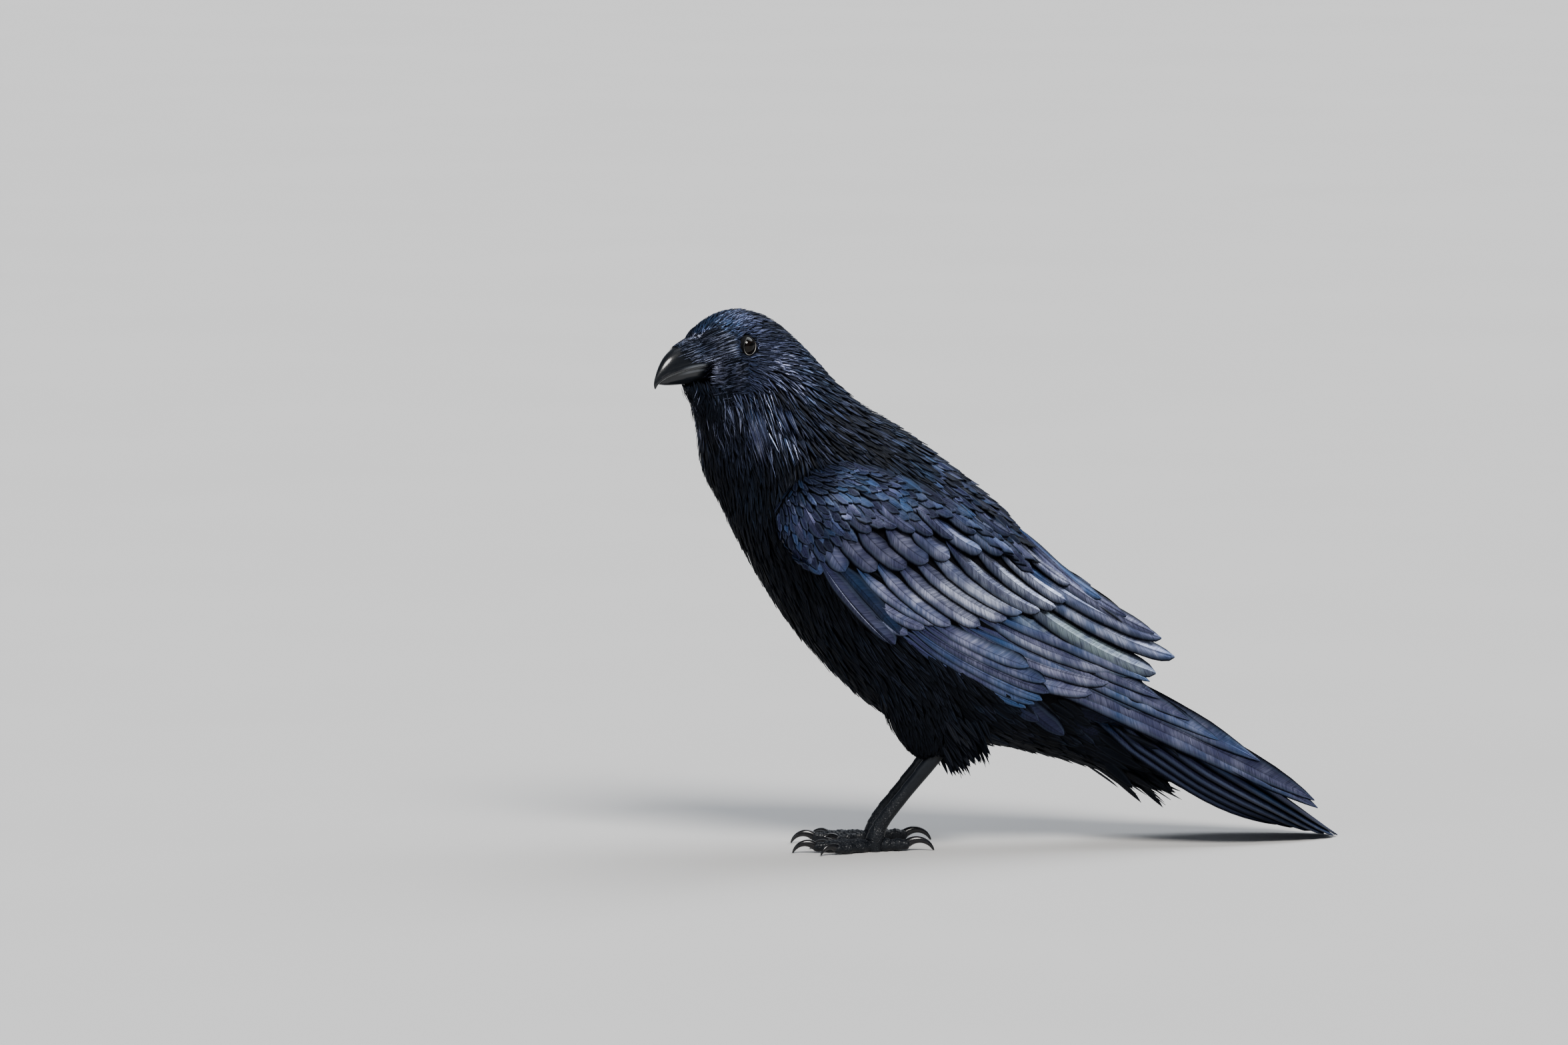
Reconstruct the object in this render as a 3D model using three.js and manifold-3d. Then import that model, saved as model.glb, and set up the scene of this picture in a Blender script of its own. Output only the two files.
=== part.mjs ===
// Common raven (Corvus corax), life size, standing with its head turned to its left.
// Millimetres, +Z up. The bird faces -Y and its left side is +X. It is drawn round a
// point on the floor between its feet, and the last lines set the origin below the
// middle of the whole bird. Each piece keeps a thin gap to the next.

import * as THREE from 'three';
import { mergeVertices } from 'three/addons/utils/BufferGeometryUtils.js';
import Module from 'manifold-3d';

const wasm = await Module();
wasm.setup();

// Driving dimensions
const GAP = 0.3; // between pieces that meet
const LEG_APART = 24; // each leg from the mid plane
const FAR_LEG_BACK = 8; // how far the right foot stands behind the left one
const EYE_BALL = 7; // radius
const EYE_OUT = 17.4; // centre of an eye from the head's mid plane
const HEAD_YAW = 37; // degrees that the head is turned to the left
const BETWEEN_EYES = new THREE.Vector3(16, -109.3, 348.6);

const FLOOR_WIDTH = 1000; // of the block that trims claws above the floor
const FLOOR_DEPTH = 40;
const WELD = 1e-3; // corners this close are one
const DEGREE = Math.PI / 180;
const UP = new THREE.Vector3(0, 0, 1);

const raven = new THREE.Group();

const plumage = new THREE.MeshStandardMaterial({ color: 0x101116, roughness: 0.45, metalness: 0.1 });
const horn = new THREE.MeshStandardMaterial({ color: 0x17171a, roughness: 0.3, metalness: 0 });
const scaly = new THREE.MeshStandardMaterial({ color: 0x0c0c0f, roughness: 0.5, metalness: 0 });
const wet = new THREE.MeshStandardMaterial({ color: 0x120c09, roughness: 0.05, metalness: 0 });

// Points

const at = (x, y, z) => new THREE.Vector3(x, y, z);

function turned(yaw) {
  return at(Math.cos(yaw * DEGREE), Math.sin(yaw * DEGREE), 0);
}

const HEAD_LEFT = turned(HEAD_YAW);
const HEAD_FORWARD = turned(HEAD_YAW - 90);

// A point of the head: forward, left and up from the point between the eyes.
function head(forward, up, left = 0) {
  return BETWEEN_EYES.clone()
    .addScaledVector(HEAD_FORWARD, forward)
    .addScaledVector(HEAD_LEFT, left)
    .addScaledVector(UP, up);
}

// A smooth run through points, or through numbers, read at 0 to 1.
const through = (points) => new THREE.CatmullRomCurve3(points);

function numbers(list) {
  const run = through(list.map((value) => at(value, 0, 0)));
  return (t) => run.getPoint(t).x;
}

// Solids

// A closed loft. pointAt(t, angle, reach) places the wall for reach 1 and the middle
// of an end for reach 0; t runs 0 to 1 and the angle is 0 on top.
function loft(pointAt, around, along) {
  const shape = new THREE.CylinderGeometry(1, 1, 1, around, along);
  shape.deleteAttribute('normal');
  shape.deleteAttribute('uv');
  const spot = shape.attributes.position;
  for (let i = 0; i < spot.count; i += 1) {
    const angle = Math.atan2(spot.getX(i), spot.getZ(i));
    const reach = Math.hypot(spot.getX(i), spot.getZ(i));
    const moved = pointAt(0.5 - spot.getY(i), angle, Math.round(reach));
    spot.setXYZ(i, moved.x, moved.y, moved.z);
  }
  return outward(mergeVertices(shape, WELD));
}

function outward(shape) {
  const corner = shape.index.array;
  const spot = shape.attributes.position;
  const [a, b, c] = [at(0, 0, 0), at(0, 0, 0), at(0, 0, 0)];
  let volume = 0;
  for (let i = 0; i < corner.length; i += 3) {
    a.fromBufferAttribute(spot, corner[i]);
    b.fromBufferAttribute(spot, corner[i + 1]);
    c.fromBufferAttribute(spot, corner[i + 2]);
    volume += a.dot(b.cross(c));
  }
  if (volume < 0) {
    for (let i = 0; i < corner.length; i += 3) {
      [corner[i], corner[i + 1]] = [corner[i + 1], corner[i]];
    }
  }
  return shape;
}

// The same shape, fatter all over by a given amount.
function grown(shape, by = GAP) {
  const fat = shape.clone();
  fat.computeVertexNormals();
  const spot = fat.attributes.position;
  const way = fat.attributes.normal;
  for (let i = 0; i < spot.count; i += 1) {
    const x = spot.getX(i) + way.getX(i) * by;
    const y = spot.getY(i) + way.getY(i) * by;
    const z = spot.getZ(i) + way.getZ(i) * by;
    spot.setXYZ(i, x, y, z);
  }
  fat.deleteAttribute('normal');
  return fat;
}

function toSolid(shape) {
  return new wasm.Manifold(new wasm.Mesh({
    numProp: 3,
    vertProperties: new Float32Array(shape.attributes.position.array),
    triVerts: new Uint32Array(shape.index.array),
  }));
}

// The largest body left once every cutter is taken away.
function cut(shape, ...cutters) {
  let solid = toSolid(shape);
  for (const cutter of cutters) {
    solid = solid.subtract(toSolid(cutter));
  }
  const [largest] = solid.decompose().sort((a, b) => b.volume() - a.volume());
  const mesh = largest.getMesh();
  const left = new THREE.BufferGeometry();
  left.setAttribute('position', new THREE.Float32BufferAttribute(mesh.vertProperties, 3));
  left.setIndex([...mesh.triVerts]);
  return left;
}

function blockBelow(level) {
  const block = new THREE.BoxGeometry(FLOOR_WIDTH, FLOOR_WIDTH, FLOOR_DEPTH);
  block.translate(0, 0, level - FLOOR_DEPTH / 2);
  block.deleteAttribute('normal');
  block.deleteAttribute('uv');
  return mergeVertices(block);
}

// What would reach below the floor is laid flat on it.
function settled(point) {
  point.z = Math.max(point.z, 0);
  return point;
}

function add(name, shape, material) {
  const piece = new THREE.Mesh(shape, material);
  piece.name = name;
  raven.add(piece);
  return shape;
}

// A rounded section between a top and a bottom point, with a half width across.
const roundPower = (value, squareness) => Math.sign(value) * Math.abs(value) ** (2 / squareness);

function sectionPoint({ top, bottom, side, squareness }, angle, reach) {
  const middle = top.clone().add(bottom).multiplyScalar(0.5);
  const half = top.clone().sub(bottom).multiplyScalar(0.5);
  return middle
    .addScaledVector(half, reach * roundPower(Math.cos(angle), squareness))
    .addScaledVector(side, reach * roundPower(Math.sin(angle), squareness));
}

// Head, neck and trunk are one run of sections, from the face to the rump. Each row
// has the top of a section, its bottom, its half width and its yaw in degrees.
const BODY = [
  [head(32, 9.5), head(43, -25.5), 9, 37],
  [head(24, 15.5), head(35, -32), 15, 37],
  [head(13, 20.5), head(26, -40), 20, 37],
  [head(0, 23.8), head(20, -51), 22.5, 37],
  [head(-15, 24), head(15, -63, -2), 25.5, 36],
  [at(0, -79, 366), at(13, -121, 272), 30, 31],
  [at(0, -56, 346), at(6, -119, 256), 36, 22],
  [at(0, -20, 309.5), at(0, -110, 238), 44, 10],
  [at(0, 16, 288), at(0, -103, 221), 51, 3],
  [at(0, 50, 262), at(0, -90, 196), 55, 0],
  [at(0, 84, 234), at(0, -70, 163), 57, 0],
  [at(0, 114, 200), at(0, -40, 127), 56, 0],
  [at(0, 142, 168), at(0, -2, 93), 51, 0],
  [at(0, 162, 142), at(0, 42, 72), 44, 0],
  [at(0, 178, 118), at(0, 84, 68), 35, 0],
  [at(0, 190, 99), at(0, 124, 58), 27, 0],
  [at(0, 200, 84), at(0, 164, 46), 20, 0],
  [at(0, 207, 72), at(0, 200, 38), 11, 0],
];
const HEAD_END = 5.2 / (BODY.length - 1); // the head has the first 5.2 rows
const NECK_END = 7.6 / (BODY.length - 1);
const PARTING = 0.024 / (BODY.length - 1); // along the run, a gap of 0.3 or more
const SQUARENESS = 2.15; // of a section: 2 is an ellipse

const bodyTop = through(BODY.map(([top]) => top));
const bodyBottom = through(BODY.map(([, bottom]) => bottom));
const bodyHalf = numbers(BODY.map(([, , half]) => half));
const bodyYaw = numbers(BODY.map(([, , , yaw]) => yaw));

function bodySection(t) {
  return {
    top: bodyTop.getPoint(t),
    bottom: bodyBottom.getPoint(t),
    side: turned(bodyYaw(t)).multiplyScalar(bodyHalf(t)),
    squareness: SQUARENESS,
  };
}

function bodyLength(from, to, around, along) {
  return loft((t, angle, reach) => (
    sectionPoint(bodySection(THREE.MathUtils.lerp(from, to, t)), angle, reach)
  ), around, along);
}

const wholeHead = bodyLength(0, HEAD_END, 22, 12);
const neck = bodyLength(HEAD_END + PARTING, NECK_END, 22, 5);
const trunk = bodyLength(NECK_END + PARTING, 1, 24, 16);

// Bill. Rows hold a point of the ridge, a point of the edge below or above it, and
// the half width there, forward and up from the eyes.
const UPPER_BILL = [
  [[12, 5], [10, -11.6], 11.5],
  [[24, 8], [22, -11.8], 12.3],
  [[36, 6.4], [33, -12], 11.2],
  [[50, 1.4], [48, -13.6], 8.8],
  [[60, -4.2], [57, -15.7], 6.4],
  [[66.8, -12], [63.5, -18.2], 3.9],
  [[71.4, -21.4], [68.6, -22.6], 1.2],
  [[71, -25.3], [70.2, -25.5], 0.5],
];
const LOWER_BILL = [
  [[12, -21.8], [11, -12.6], 10.6],
  [[30, -23.6], [30, -12.9], 9.8],
  [[48, -24.2], [48, -14.6], 7.6],
  [[60, -23.8], [59, -17.4], 4.6],
  [[66.6, -22.8], [65.4, -20.6], 1.5],
];

const BILL_EDGE = 0.12; // how far into its depth a bill is widest
const UPPER_PALATE = 0.12; // how deep the closed side of a bill bulges
const LOWER_PALATE = 0.08;

function billShape(rows, palate, along) {
  const ridge = through(rows.map(([[forward, up]]) => at(forward, up, 0)));
  const edge = through(rows.map(([, [forward, up]]) => at(forward, up, 0)));
  const half = numbers(rows.map(([, , width]) => width));
  return loft((t, angle, reach) => {
    const far = ridge.getPoint(t);
    const near = edge.getPoint(t);
    const rise = Math.cos(angle) > 0 ? Math.cos(angle) : Math.cos(angle) * palate;
    const spot = near.clone().lerp(far, BILL_EDGE + reach * rise * (1 - BILL_EDGE));
    return head(spot.x, spot.y, reach * half(t) * Math.sin(angle));
  }, 14, along);
}

const billUpper = add('bill_upper', billShape(UPPER_BILL, UPPER_PALATE, 11), horn);
const billLower = add('bill_lower', billShape(LOWER_BILL, LOWER_PALATE, 7), horn);

// Eyes: whole balls in open sockets.
const eyes = ['left', 'right'].map((side) => {
  const ball = new THREE.SphereGeometry(EYE_BALL, 12, 8);
  ball.deleteAttribute('normal');
  ball.deleteAttribute('uv');
  const middle = head(0, 0, side === 'left' ? EYE_OUT : -EYE_OUT);
  ball.translate(middle.x, middle.y, middle.z);
  return add(`eye_${side}`, mergeVertices(ball, WELD), wet);
});

add('head', cut(wholeHead, ...[billUpper, billLower, ...eyes].map((part) => grown(part))), plumage);
add('neck', neck, plumage);

// Tail: closed, roofed and wedge-ended. The outer vanes lie lower than the middle
// pair, and the tip rests on the floor.
const TAIL_ROOT = at(0, 150, 108);
const TAIL_TIP = at(0, 322, -1);
const tailHalf = numbers([16, 24, 29, 31, 32, 30, 21, 8]);
const tailDroop = numbers([6, 14, 20, 22, 20, 14, 6, 1]); // sides below the middle
const TAIL_STACK = 0.75; // part of that droop that lower vanes fill under the middle
const tailThick = numbers([16, 14, 12, 10, 8, 6.5, 5, 3]);
const TAIL_SLOPE = 34 * DEGREE; // thickness is taken square to this slope
const tailLine = through([TAIL_ROOT, at(0, 204, 77), at(0, 262, 39.5), TAIL_TIP]);

function tailPoint(t, angle, reach) {
  const middle = tailLine.getPoint(t);
  const across = Math.sin(angle) * reach;
  const under = Math.cos(angle) < 0 ? TAIL_STACK * (1 - across ** 2) : 0;
  const drop = tailDroop(t) * (across ** 2 + under);
  const over = Math.cos(angle) * reach * tailThick(t) * 0.5;
  const spot = at(tailHalf(t) * across, over * Math.sin(TAIL_SLOPE), over * Math.cos(TAIL_SLOPE) - drop);
  return settled(middle.add(spot));
}

const wholeTail = loft(tailPoint, 18, 10);
const tail = cut(wholeTail, grown(trunk));
add('tail', tail, plumage);

// Folded wing, left side. Each row has a point of the lower edge, a point of the upper
// edge and how far the plate between them bows outward.
const WING = [
  [at(55, -84, 236), at(49, -74, 252), 2],
  [at(60, -77, 213), at(47, -42, 272), 11],
  [at(62, -50, 190), at(44, -8, 272), 16],
  [at(60, -12, 162), at(41, 32, 254), 17],
  [at(56, 32, 135), at(36, 72, 229), 15],
  [at(50, 84, 112), at(21, 114, 204), 13],
  [at(42, 138, 97), at(13, 154, 180), 10],
  [at(35, 180, 93), at(10, 188, 149), 6],
  [at(27, 200, 112), at(14, 207, 131), 1.5],
];
const PRIMARIES = [
  [at(33, 158, 98), at(26, 166, 130), 2],
  [at(31, 184, 88), at(25, 190, 119), 3],
  [at(28, 214, 76), at(24, 213, 103), 3],
  [at(24, 250, 58), at(21, 246, 74), 1.5],
  [at(19, 282, 40), at(17, 280, 50), 0.6],
  [at(16, 307, 24), at(15.4, 308, 26), 0.2],
];
const WING_THICK = numbers([5, 9, 11, 11, 11, 10, 8, 5, 2]);
const PRIMARY_THICK = numbers([3.5, 3.5, 3.5, 3, 2.2, 1]);

function platePoint(rows, thickness) {
  const run = rows.at(-1)[0].clone().sub(rows[0][0]);
  const lower = through(rows.map(([low]) => low));
  const upper = through(rows.map(([, high]) => high));
  const bow = numbers(rows.map(([, , out]) => out));
  return (t, angle, reach) => {
    const low = lower.getPoint(t);
    const high = upper.getPoint(t);
    const chord = high.clone().sub(low);
    const outwards = run.clone().cross(chord).normalize();
    if (outwards.x < 0) outwards.negate();
    const up = 0.5 + Math.cos(angle) * reach * 0.5;
    const arch = 4 * up * (1 - up) * bow(t);
    const half = thickness(t) * 0.5;
    const skin = Math.sin(angle) * reach * half;
    return low.addScaledVector(chord, up).addScaledVector(outwards, arch - half + skin);
  };
}

const wingBlank = loft(platePoint(WING, WING_THICK), 16, 13);
const primaryBlank = loft(platePoint(PRIMARIES, PRIMARY_THICK), 10, 8);

function flipped(shape) {
  const twin = shape.clone();
  twin.scale(-1, 1, 1);
  return outward(twin);
}

const besideWings = [trunk, neck, wholeTail].map((part) => grown(part));

function addWing(side) {
  const own = (shape) => (side === 'left' ? shape : flipped(shape));
  const wing = cut(own(wingBlank), ...besideWings);
  add(`wing_${side}`, wing, plumage);
  add(`primaries_${side}`, cut(own(primaryBlank), grown(wing), ...besideWings), plumage);
  return wing;
}

const wings = { left: addWing('left'), right: addWing('right') };

// Legs. A feathered thigh below the trunk, a bare shank that ends in the ball of the
// foot, three toes forward, one back, and a claw on each.
function tube(rows, around, along) {
  const line = through(rows.map(([middle]) => middle));
  const across = numbers(rows.map(([, width]) => width));
  const deep = numbers(rows.map(([, , depth]) => depth));
  const side = at(1, 0, 0);
  return loft((t, angle, reach) => {
    const fore = line.getTangent(t).cross(side).normalize();
    return settled(line.getPoint(t)
      .addScaledVector(fore, reach * Math.cos(angle) * deep(t))
      .addScaledVector(side, reach * Math.sin(angle) * across(t)));
  }, around, along);
}

const THIGH = [
  [at(0, 20, 140), 24, 32],
  [at(0, 27, 108), 21, 34],
  [at(0, 34, 84), 16, 28],
  [at(0, 37, 72), 11, 22],
  [at(0, 39, 64.5), 6, 13],
];
const SHANK = [
  [at(0, 41, 74), 4.8, 5.4],
  [at(0, 30, 60), 4.4, 5],
  [at(0, 10, 36), 3.9, 4.4],
  [at(0, -4, 18), 4.5, 4.8],
  [at(0, -8, 8), 6.4, 6],
  [at(0, -9, 0), 5.8, 5.4],
];

// Toe: its yaw from straight ahead in degrees, outward positive, and its length.
const TOES = [
  { name: 'middle', yaw: 2, length: 43, thick: 5, claw: 19 },
  { name: 'inner', yaw: -24, length: 32, thick: 4.8, claw: 18 },
  { name: 'outer', yaw: 27, length: 34, thick: 4.6, claw: 16 },
  { name: 'back', yaw: 176, length: 25, thick: 5.2, claw: 23 },
];
const PADS = 3; // swellings along a toe
const PAD_SWELL = 0.1;
const TOE_TAPER = 0.28; // share of its girth that a toe loses to its tip
const TOE_ROUNDING = 0.14; // share of a toe's length that rounds off its end
const TOE_BLUNT = 0.8; // how far that rounding closes
const TOE_AXIS = 0.86; // height of a toe's middle line, in toe thicknesses
const CLAW_AXIS = 0.9;
const CLAW_GIRTH = 0.6; // of a claw's root, in toe thicknesses
const CLAW_TIP = 0.25;
const CLAW_TAPER = 0.7; // below 1 keeps a claw stout until near its tip
const CLAW_FLATNESS = 0.75; // width over height
const CLAW_ROOT = 2; // how deep a claw starts inside its toe
const CLAW_RISE = 40 * DEGREE; // a claw leaves its toe rising
const CLAW_FALL = -72 * DEGREE; // and its tip points down

function toePoint({ length, thick }) {
  return (t, angle, reach) => {
    const girth = thick * (1 - TOE_TAPER * t) * (1 + PAD_SWELL * Math.cos(PADS * 2 * Math.PI * t));
    const end = Math.sqrt(1 - TOE_BLUNT * Math.max(0, 1 - (1 - t) / TOE_ROUNDING) ** 2);
    const across = Math.sin(angle) * reach * girth * end;
    const rise = thick * TOE_AXIS + Math.cos(angle) * reach * girth * end;
    return settled(at(across, -t * length, rise));
  };
}

// A claw is an arc of its own length, thinner towards the tip.
function clawPoint({ length, thick, claw }) {
  const radius = claw / (CLAW_RISE - CLAW_FALL);
  return (t, angle, reach) => {
    const lean = THREE.MathUtils.lerp(CLAW_RISE, CLAW_FALL, t);
    const girth = thick * CLAW_GIRTH * (1 - t) ** CLAW_TAPER + CLAW_TIP;
    const out = length - CLAW_ROOT + radius * (Math.sin(CLAW_RISE) - Math.sin(lean));
    const up = thick * CLAW_AXIS + radius * (Math.cos(lean) - Math.cos(CLAW_RISE));
    const over = Math.cos(angle) * reach * girth;
    return at(
      Math.sin(angle) * reach * girth * CLAW_FLATNESS,
      -out + over * Math.sin(lean),
      up + over * Math.cos(lean),
    );
  };
}

function addLeg(side) {
  const sign = side === 'left' ? 1 : -1;
  const hip = at(sign * LEG_APART, side === 'left' ? 0 : FAR_LEG_BACK, 0);
  const placed = (shape) => shape.clone().translate(hip.x, hip.y, hip.z);
  const shank = placed(tube(SHANK, 10, 8));
  const thigh = placed(tube(THIGH, 14, 5));
  add(`shank_${side}`, cut(shank, grown(trunk)), scaly);
  add(`thigh_${side}`, cut(thigh, grown(trunk), grown(shank), grown(wings[side])), plumage);

  const nearer = [shank];
  for (const toe of TOES) {
    const spin = new THREE.Matrix4().makeRotationZ(sign * toe.yaw * DEGREE);
    spin.setPosition(hip.x, hip.y + SHANK.at(-1)[0].y, 0);
    const bone = loft(toePoint(toe), 9, 6).applyMatrix4(spin);
    const claw = loft(clawPoint(toe), 6, 5).applyMatrix4(spin);
    add(`toe_${side}_${toe.name}`, cut(bone, ...nearer.map((part) => grown(part))), scaly);
    add(`claw_${side}_${toe.name}`, cut(claw, grown(bone), blockBelow(GAP)), horn);
    nearer.push(bone);
  }
}

add('trunk', trunk, plumage);
addLeg('left');
addLeg('right');

// The origin is on the floor, below the middle of the bird's box.
const box = new THREE.Box3().setFromObject(raven);
raven.position.set(-(box.min.x + box.max.x) / 2, -(box.min.y + box.max.y) / 2, -box.min.z);

export default raven;
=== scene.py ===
import math

import bpy
import numpy as np
from mathutils import Matrix, Vector
from mathutils.bvhtree import BVHTree


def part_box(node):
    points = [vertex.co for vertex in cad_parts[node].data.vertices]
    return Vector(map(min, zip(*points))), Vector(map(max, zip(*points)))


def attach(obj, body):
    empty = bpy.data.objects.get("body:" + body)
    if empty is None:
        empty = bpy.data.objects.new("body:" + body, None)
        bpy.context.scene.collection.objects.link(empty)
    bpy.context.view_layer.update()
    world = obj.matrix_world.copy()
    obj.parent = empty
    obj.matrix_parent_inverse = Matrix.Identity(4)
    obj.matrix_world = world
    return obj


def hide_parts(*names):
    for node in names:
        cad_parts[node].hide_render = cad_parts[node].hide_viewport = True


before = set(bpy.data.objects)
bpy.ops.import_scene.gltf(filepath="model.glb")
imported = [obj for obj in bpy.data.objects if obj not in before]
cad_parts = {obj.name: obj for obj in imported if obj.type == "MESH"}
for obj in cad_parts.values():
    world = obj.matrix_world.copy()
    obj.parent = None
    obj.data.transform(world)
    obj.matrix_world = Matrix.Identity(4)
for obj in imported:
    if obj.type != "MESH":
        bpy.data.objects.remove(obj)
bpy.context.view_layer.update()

# A common raven as a life-size still model. It is drawn in millimetres round a point on
# the floor between its feet: it faces -Y, its left side is +X, and its head is turned.
MM = 0.001
BETWEEN_EYES = np.array((16, -109.3, 348.6))
HEAD_YAW = math.radians(37)
EYE_OUT = 17.4
HEAD_LEFT = np.array((math.cos(HEAD_YAW), math.sin(HEAD_YAW), 0))
HEAD_FORWARD = np.array((math.sin(HEAD_YAW), -math.cos(HEAD_YAW), 0))
UP = np.array((0, 0, 1))
left_eye = np.array(sum(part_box("eye_left"), Vector())) / 2
ORIGIN = left_eye - (BETWEEN_EYES + EYE_OUT * HEAD_LEFT) * MM
rng = np.random.default_rng(3)


def at(*spot):
    """A drawn point, or rows of them, in the frame's metres."""
    return np.asarray(spot if len(spot) > 1 else spot[0], float) * MM + ORIGIN


def head_way(forward, up, left=0.0):
    return HEAD_FORWARD * forward + UP * up + HEAD_LEFT * left


def head(forward, up, left=0.0):
    """A point of the head, measured from between the eyes."""
    return at(BETWEEN_EYES + head_way(forward, up, left))


def head_parts(spots):
    """How far forward, up and left of the head's middle spots are, in millimetres."""
    drawn = (spots - ORIGIN) / MM - BETWEEN_EYES
    return drawn @ HEAD_FORWARD, drawn @ UP, drawn @ HEAD_LEFT


def unit(vectors):
    return vectors / np.maximum(np.linalg.norm(vectors, axis=-1, keepdims=True), 1e-12)


def through(points, t):
    """A smooth run through points or numbers, read at t from 0 to 1."""
    points = np.asarray(points, float)
    flat = points.ndim == 1
    points = points[:, None] if flat else points
    points = np.vstack((2 * points[:1] - points[1:2], points, 2 * points[-1:] - points[-2:-1]))
    lengths = len(points) - 3
    place = np.clip(np.asarray(t, float), 0, 1) * lengths
    i = np.minimum(place.astype(int), lengths - 1)
    w = (place - i)[..., None]
    p0, p1, p2, p3 = (points[i + k] for k in range(4))
    a, b, c = (
        np.sqrt(np.linalg.norm(q - p, axis=-1, keepdims=True))
        for p, q in ((p0, p1), (p1, p2), (p2, p3))
    )
    b = np.where(b < 1e-4, 1, b)
    a = np.where(a < 1e-4, b, a)
    c = np.where(c < 1e-4, b, c)
    lead = ((p1 - p0) / a - (p2 - p0) / (a + b) + (p2 - p1) / b) * b
    tail = ((p2 - p1) / b - (p3 - p1) / (b + c) + (p3 - p2) / c) * b
    spot = (
        (2 * w**3 - 3 * w**2 + 1) * p1
        + (w**3 - 2 * w**2 + w) * lead
        + (3 * w**2 - 2 * w**3) * p2
        + (w**3 - w**2) * tail
    )
    return spot[..., 0] if flat else spot


# The camera stands far off at the bird's left side and looks a little down on it, so that
# its near and far parts keep their true proportions.
AIM = at(-34.3, -60.8, 220.9)
TO_CAMERA = unit(np.array((0.979, -0.1727, 0.1045)))
ACROSS_VIEW = unit(np.cross(UP, TO_CAMERA))
DISTANCE = 8.0
FRAME_WIDTH = 2352 * 0.457 * MM
SENSOR = 36.0
CLIP_END = 400

lens = bpy.data.cameras.new("camera")
lens.sensor_width = SENSOR
lens.lens = SENSOR * DISTANCE / FRAME_WIDTH
lens.clip_end = CLIP_END
camera = bpy.data.objects.new("camera", lens)
view_up = np.cross(TO_CAMERA, ACROSS_VIEW)
turn = Matrix(np.column_stack((ACROSS_VIEW, view_up, TO_CAMERA)).tolist()).to_4x4()
camera.matrix_world = Matrix.Translation(Vector(AIM + TO_CAMERA * DISTANCE)) @ turn
bpy.context.scene.collection.objects.link(camera)
bpy.context.scene.camera = camera

# Soft studio light: a broad key high over the camera's left, a wide overhead sheet and a
# weak one behind, all far away, with a little light from all round.
LIGHTS = (  # way to it, spread in degrees, strength and tint
    ("key", (0.68, 0.12, 0.74), 24, 2.9, (1.0, 0.97, 0.93)),
    ("top", (-0.3, 0.5, 0.8), 50, 1.8, (0.93, 0.96, 1.0)),
    ("front", (0.62, -0.72, 0.35), 40, 0.45, (0.90, 0.95, 1.0)),
)
SKY = (0.80, 0.87, 1.0)
SKY_STRENGTH = 0.20
for name, way, spread, strength, tint in LIGHTS:
    lamp = bpy.data.objects.new(name, bpy.data.lights.new(name, "SUN"))
    lamp.data.angle = math.radians(spread)
    lamp.data.energy = strength
    lamp.data.color = tint
    lamp.matrix_world = Vector(way).to_track_quat("Z", "Y").to_matrix().to_4x4()
    bpy.context.scene.collection.objects.link(lamp)
world = bpy.data.worlds.new("studio")
world.use_nodes = True
sky = world.node_tree.nodes["Background"]
sky.inputs["Color"].default_value = (*SKY, 1)
sky.inputs["Strength"].default_value = SKY_STRENGTH
bpy.context.scene.world = world
bpy.context.scene.view_settings.view_transform = "AgX"
bpy.context.scene.view_settings.look = "AgX - Medium High Contrast"


class Socket:
    """A node's output. Maths on values adds Math nodes."""

    def __init__(self, tree, out):
        self.tree = tree
        self.out = out

    def math(self, operation, *values):
        return node(self.tree, "ShaderNodeMath", {"operation": operation}, *values)

    def __add__(self, other):
        return self.math("ADD", self, other)

    __radd__ = __add__

    def __mul__(self, other):
        return self.math("MULTIPLY", self, other)

    __rmul__ = __mul__

    def __sub__(self, other):
        return self.math("SUBTRACT", self, other)

    def __rsub__(self, other):
        return self.math("SUBTRACT", other, self)

    def __abs__(self):
        return self.math("ABSOLUTE", self)

    def __pow__(self, other):
        return self.math("POWER", self, other)

    def step(self, low, high):
        """0 below low, 1 above high, and smooth between."""
        settings = {"interpolation_type": "SMOOTHSTEP"}
        return node(self.tree, "ShaderNodeMapRange", settings, self, low, high)


def put(tree, socket, value):
    """Links a Socket to a node's input, or sets a number or colour on it."""
    if isinstance(value, Socket):
        tree.links.new(value.out, socket)
    elif socket.type == "RGBA" and len(value) == 3:
        socket.default_value = (*value, 1)
    else:
        socket.default_value = value


def node(tree, kind, settings, *values, out=0, **named):
    """Adds a node with its settings and the values or links of its sockets."""
    made = tree.nodes.new(kind)
    for key, value in settings.items():
        setattr(made, key, value)
    for socket, value in zip([s for s in made.inputs if s.enabled], values):
        put(tree, socket, value)
    for key, value in named.items():
        put(tree, made.inputs[key.replace("_", " ")], value)
    outs = [s for s in made.outputs if s.enabled]
    return Socket(tree, outs[out] if isinstance(out, int) else made.outputs[out])


def blend(tree, factor, first, second):
    settings = {"data_type": "RGBA"}
    return node(tree, "ShaderNodeMix", settings, factor, first, second)


def noise(tree, vector, scale, detail=2.0, roughness=0.5):
    return node(tree, "ShaderNodeTexNoise", {}, Vector=vector, Scale=scale,
                Detail=detail, Roughness=roughness)


def parts_of(tree, vector):
    """The three numbers of a vector."""
    return [node(tree, "ShaderNodeSeparateXYZ", {}, vector, out=k) for k in range(3)]


def attribute(tree, name, out="Vector"):
    """What a mesh carries at each corner under a name."""
    return node(tree, "ShaderNodeAttribute", {"attribute_name": name}, out=out)


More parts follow.
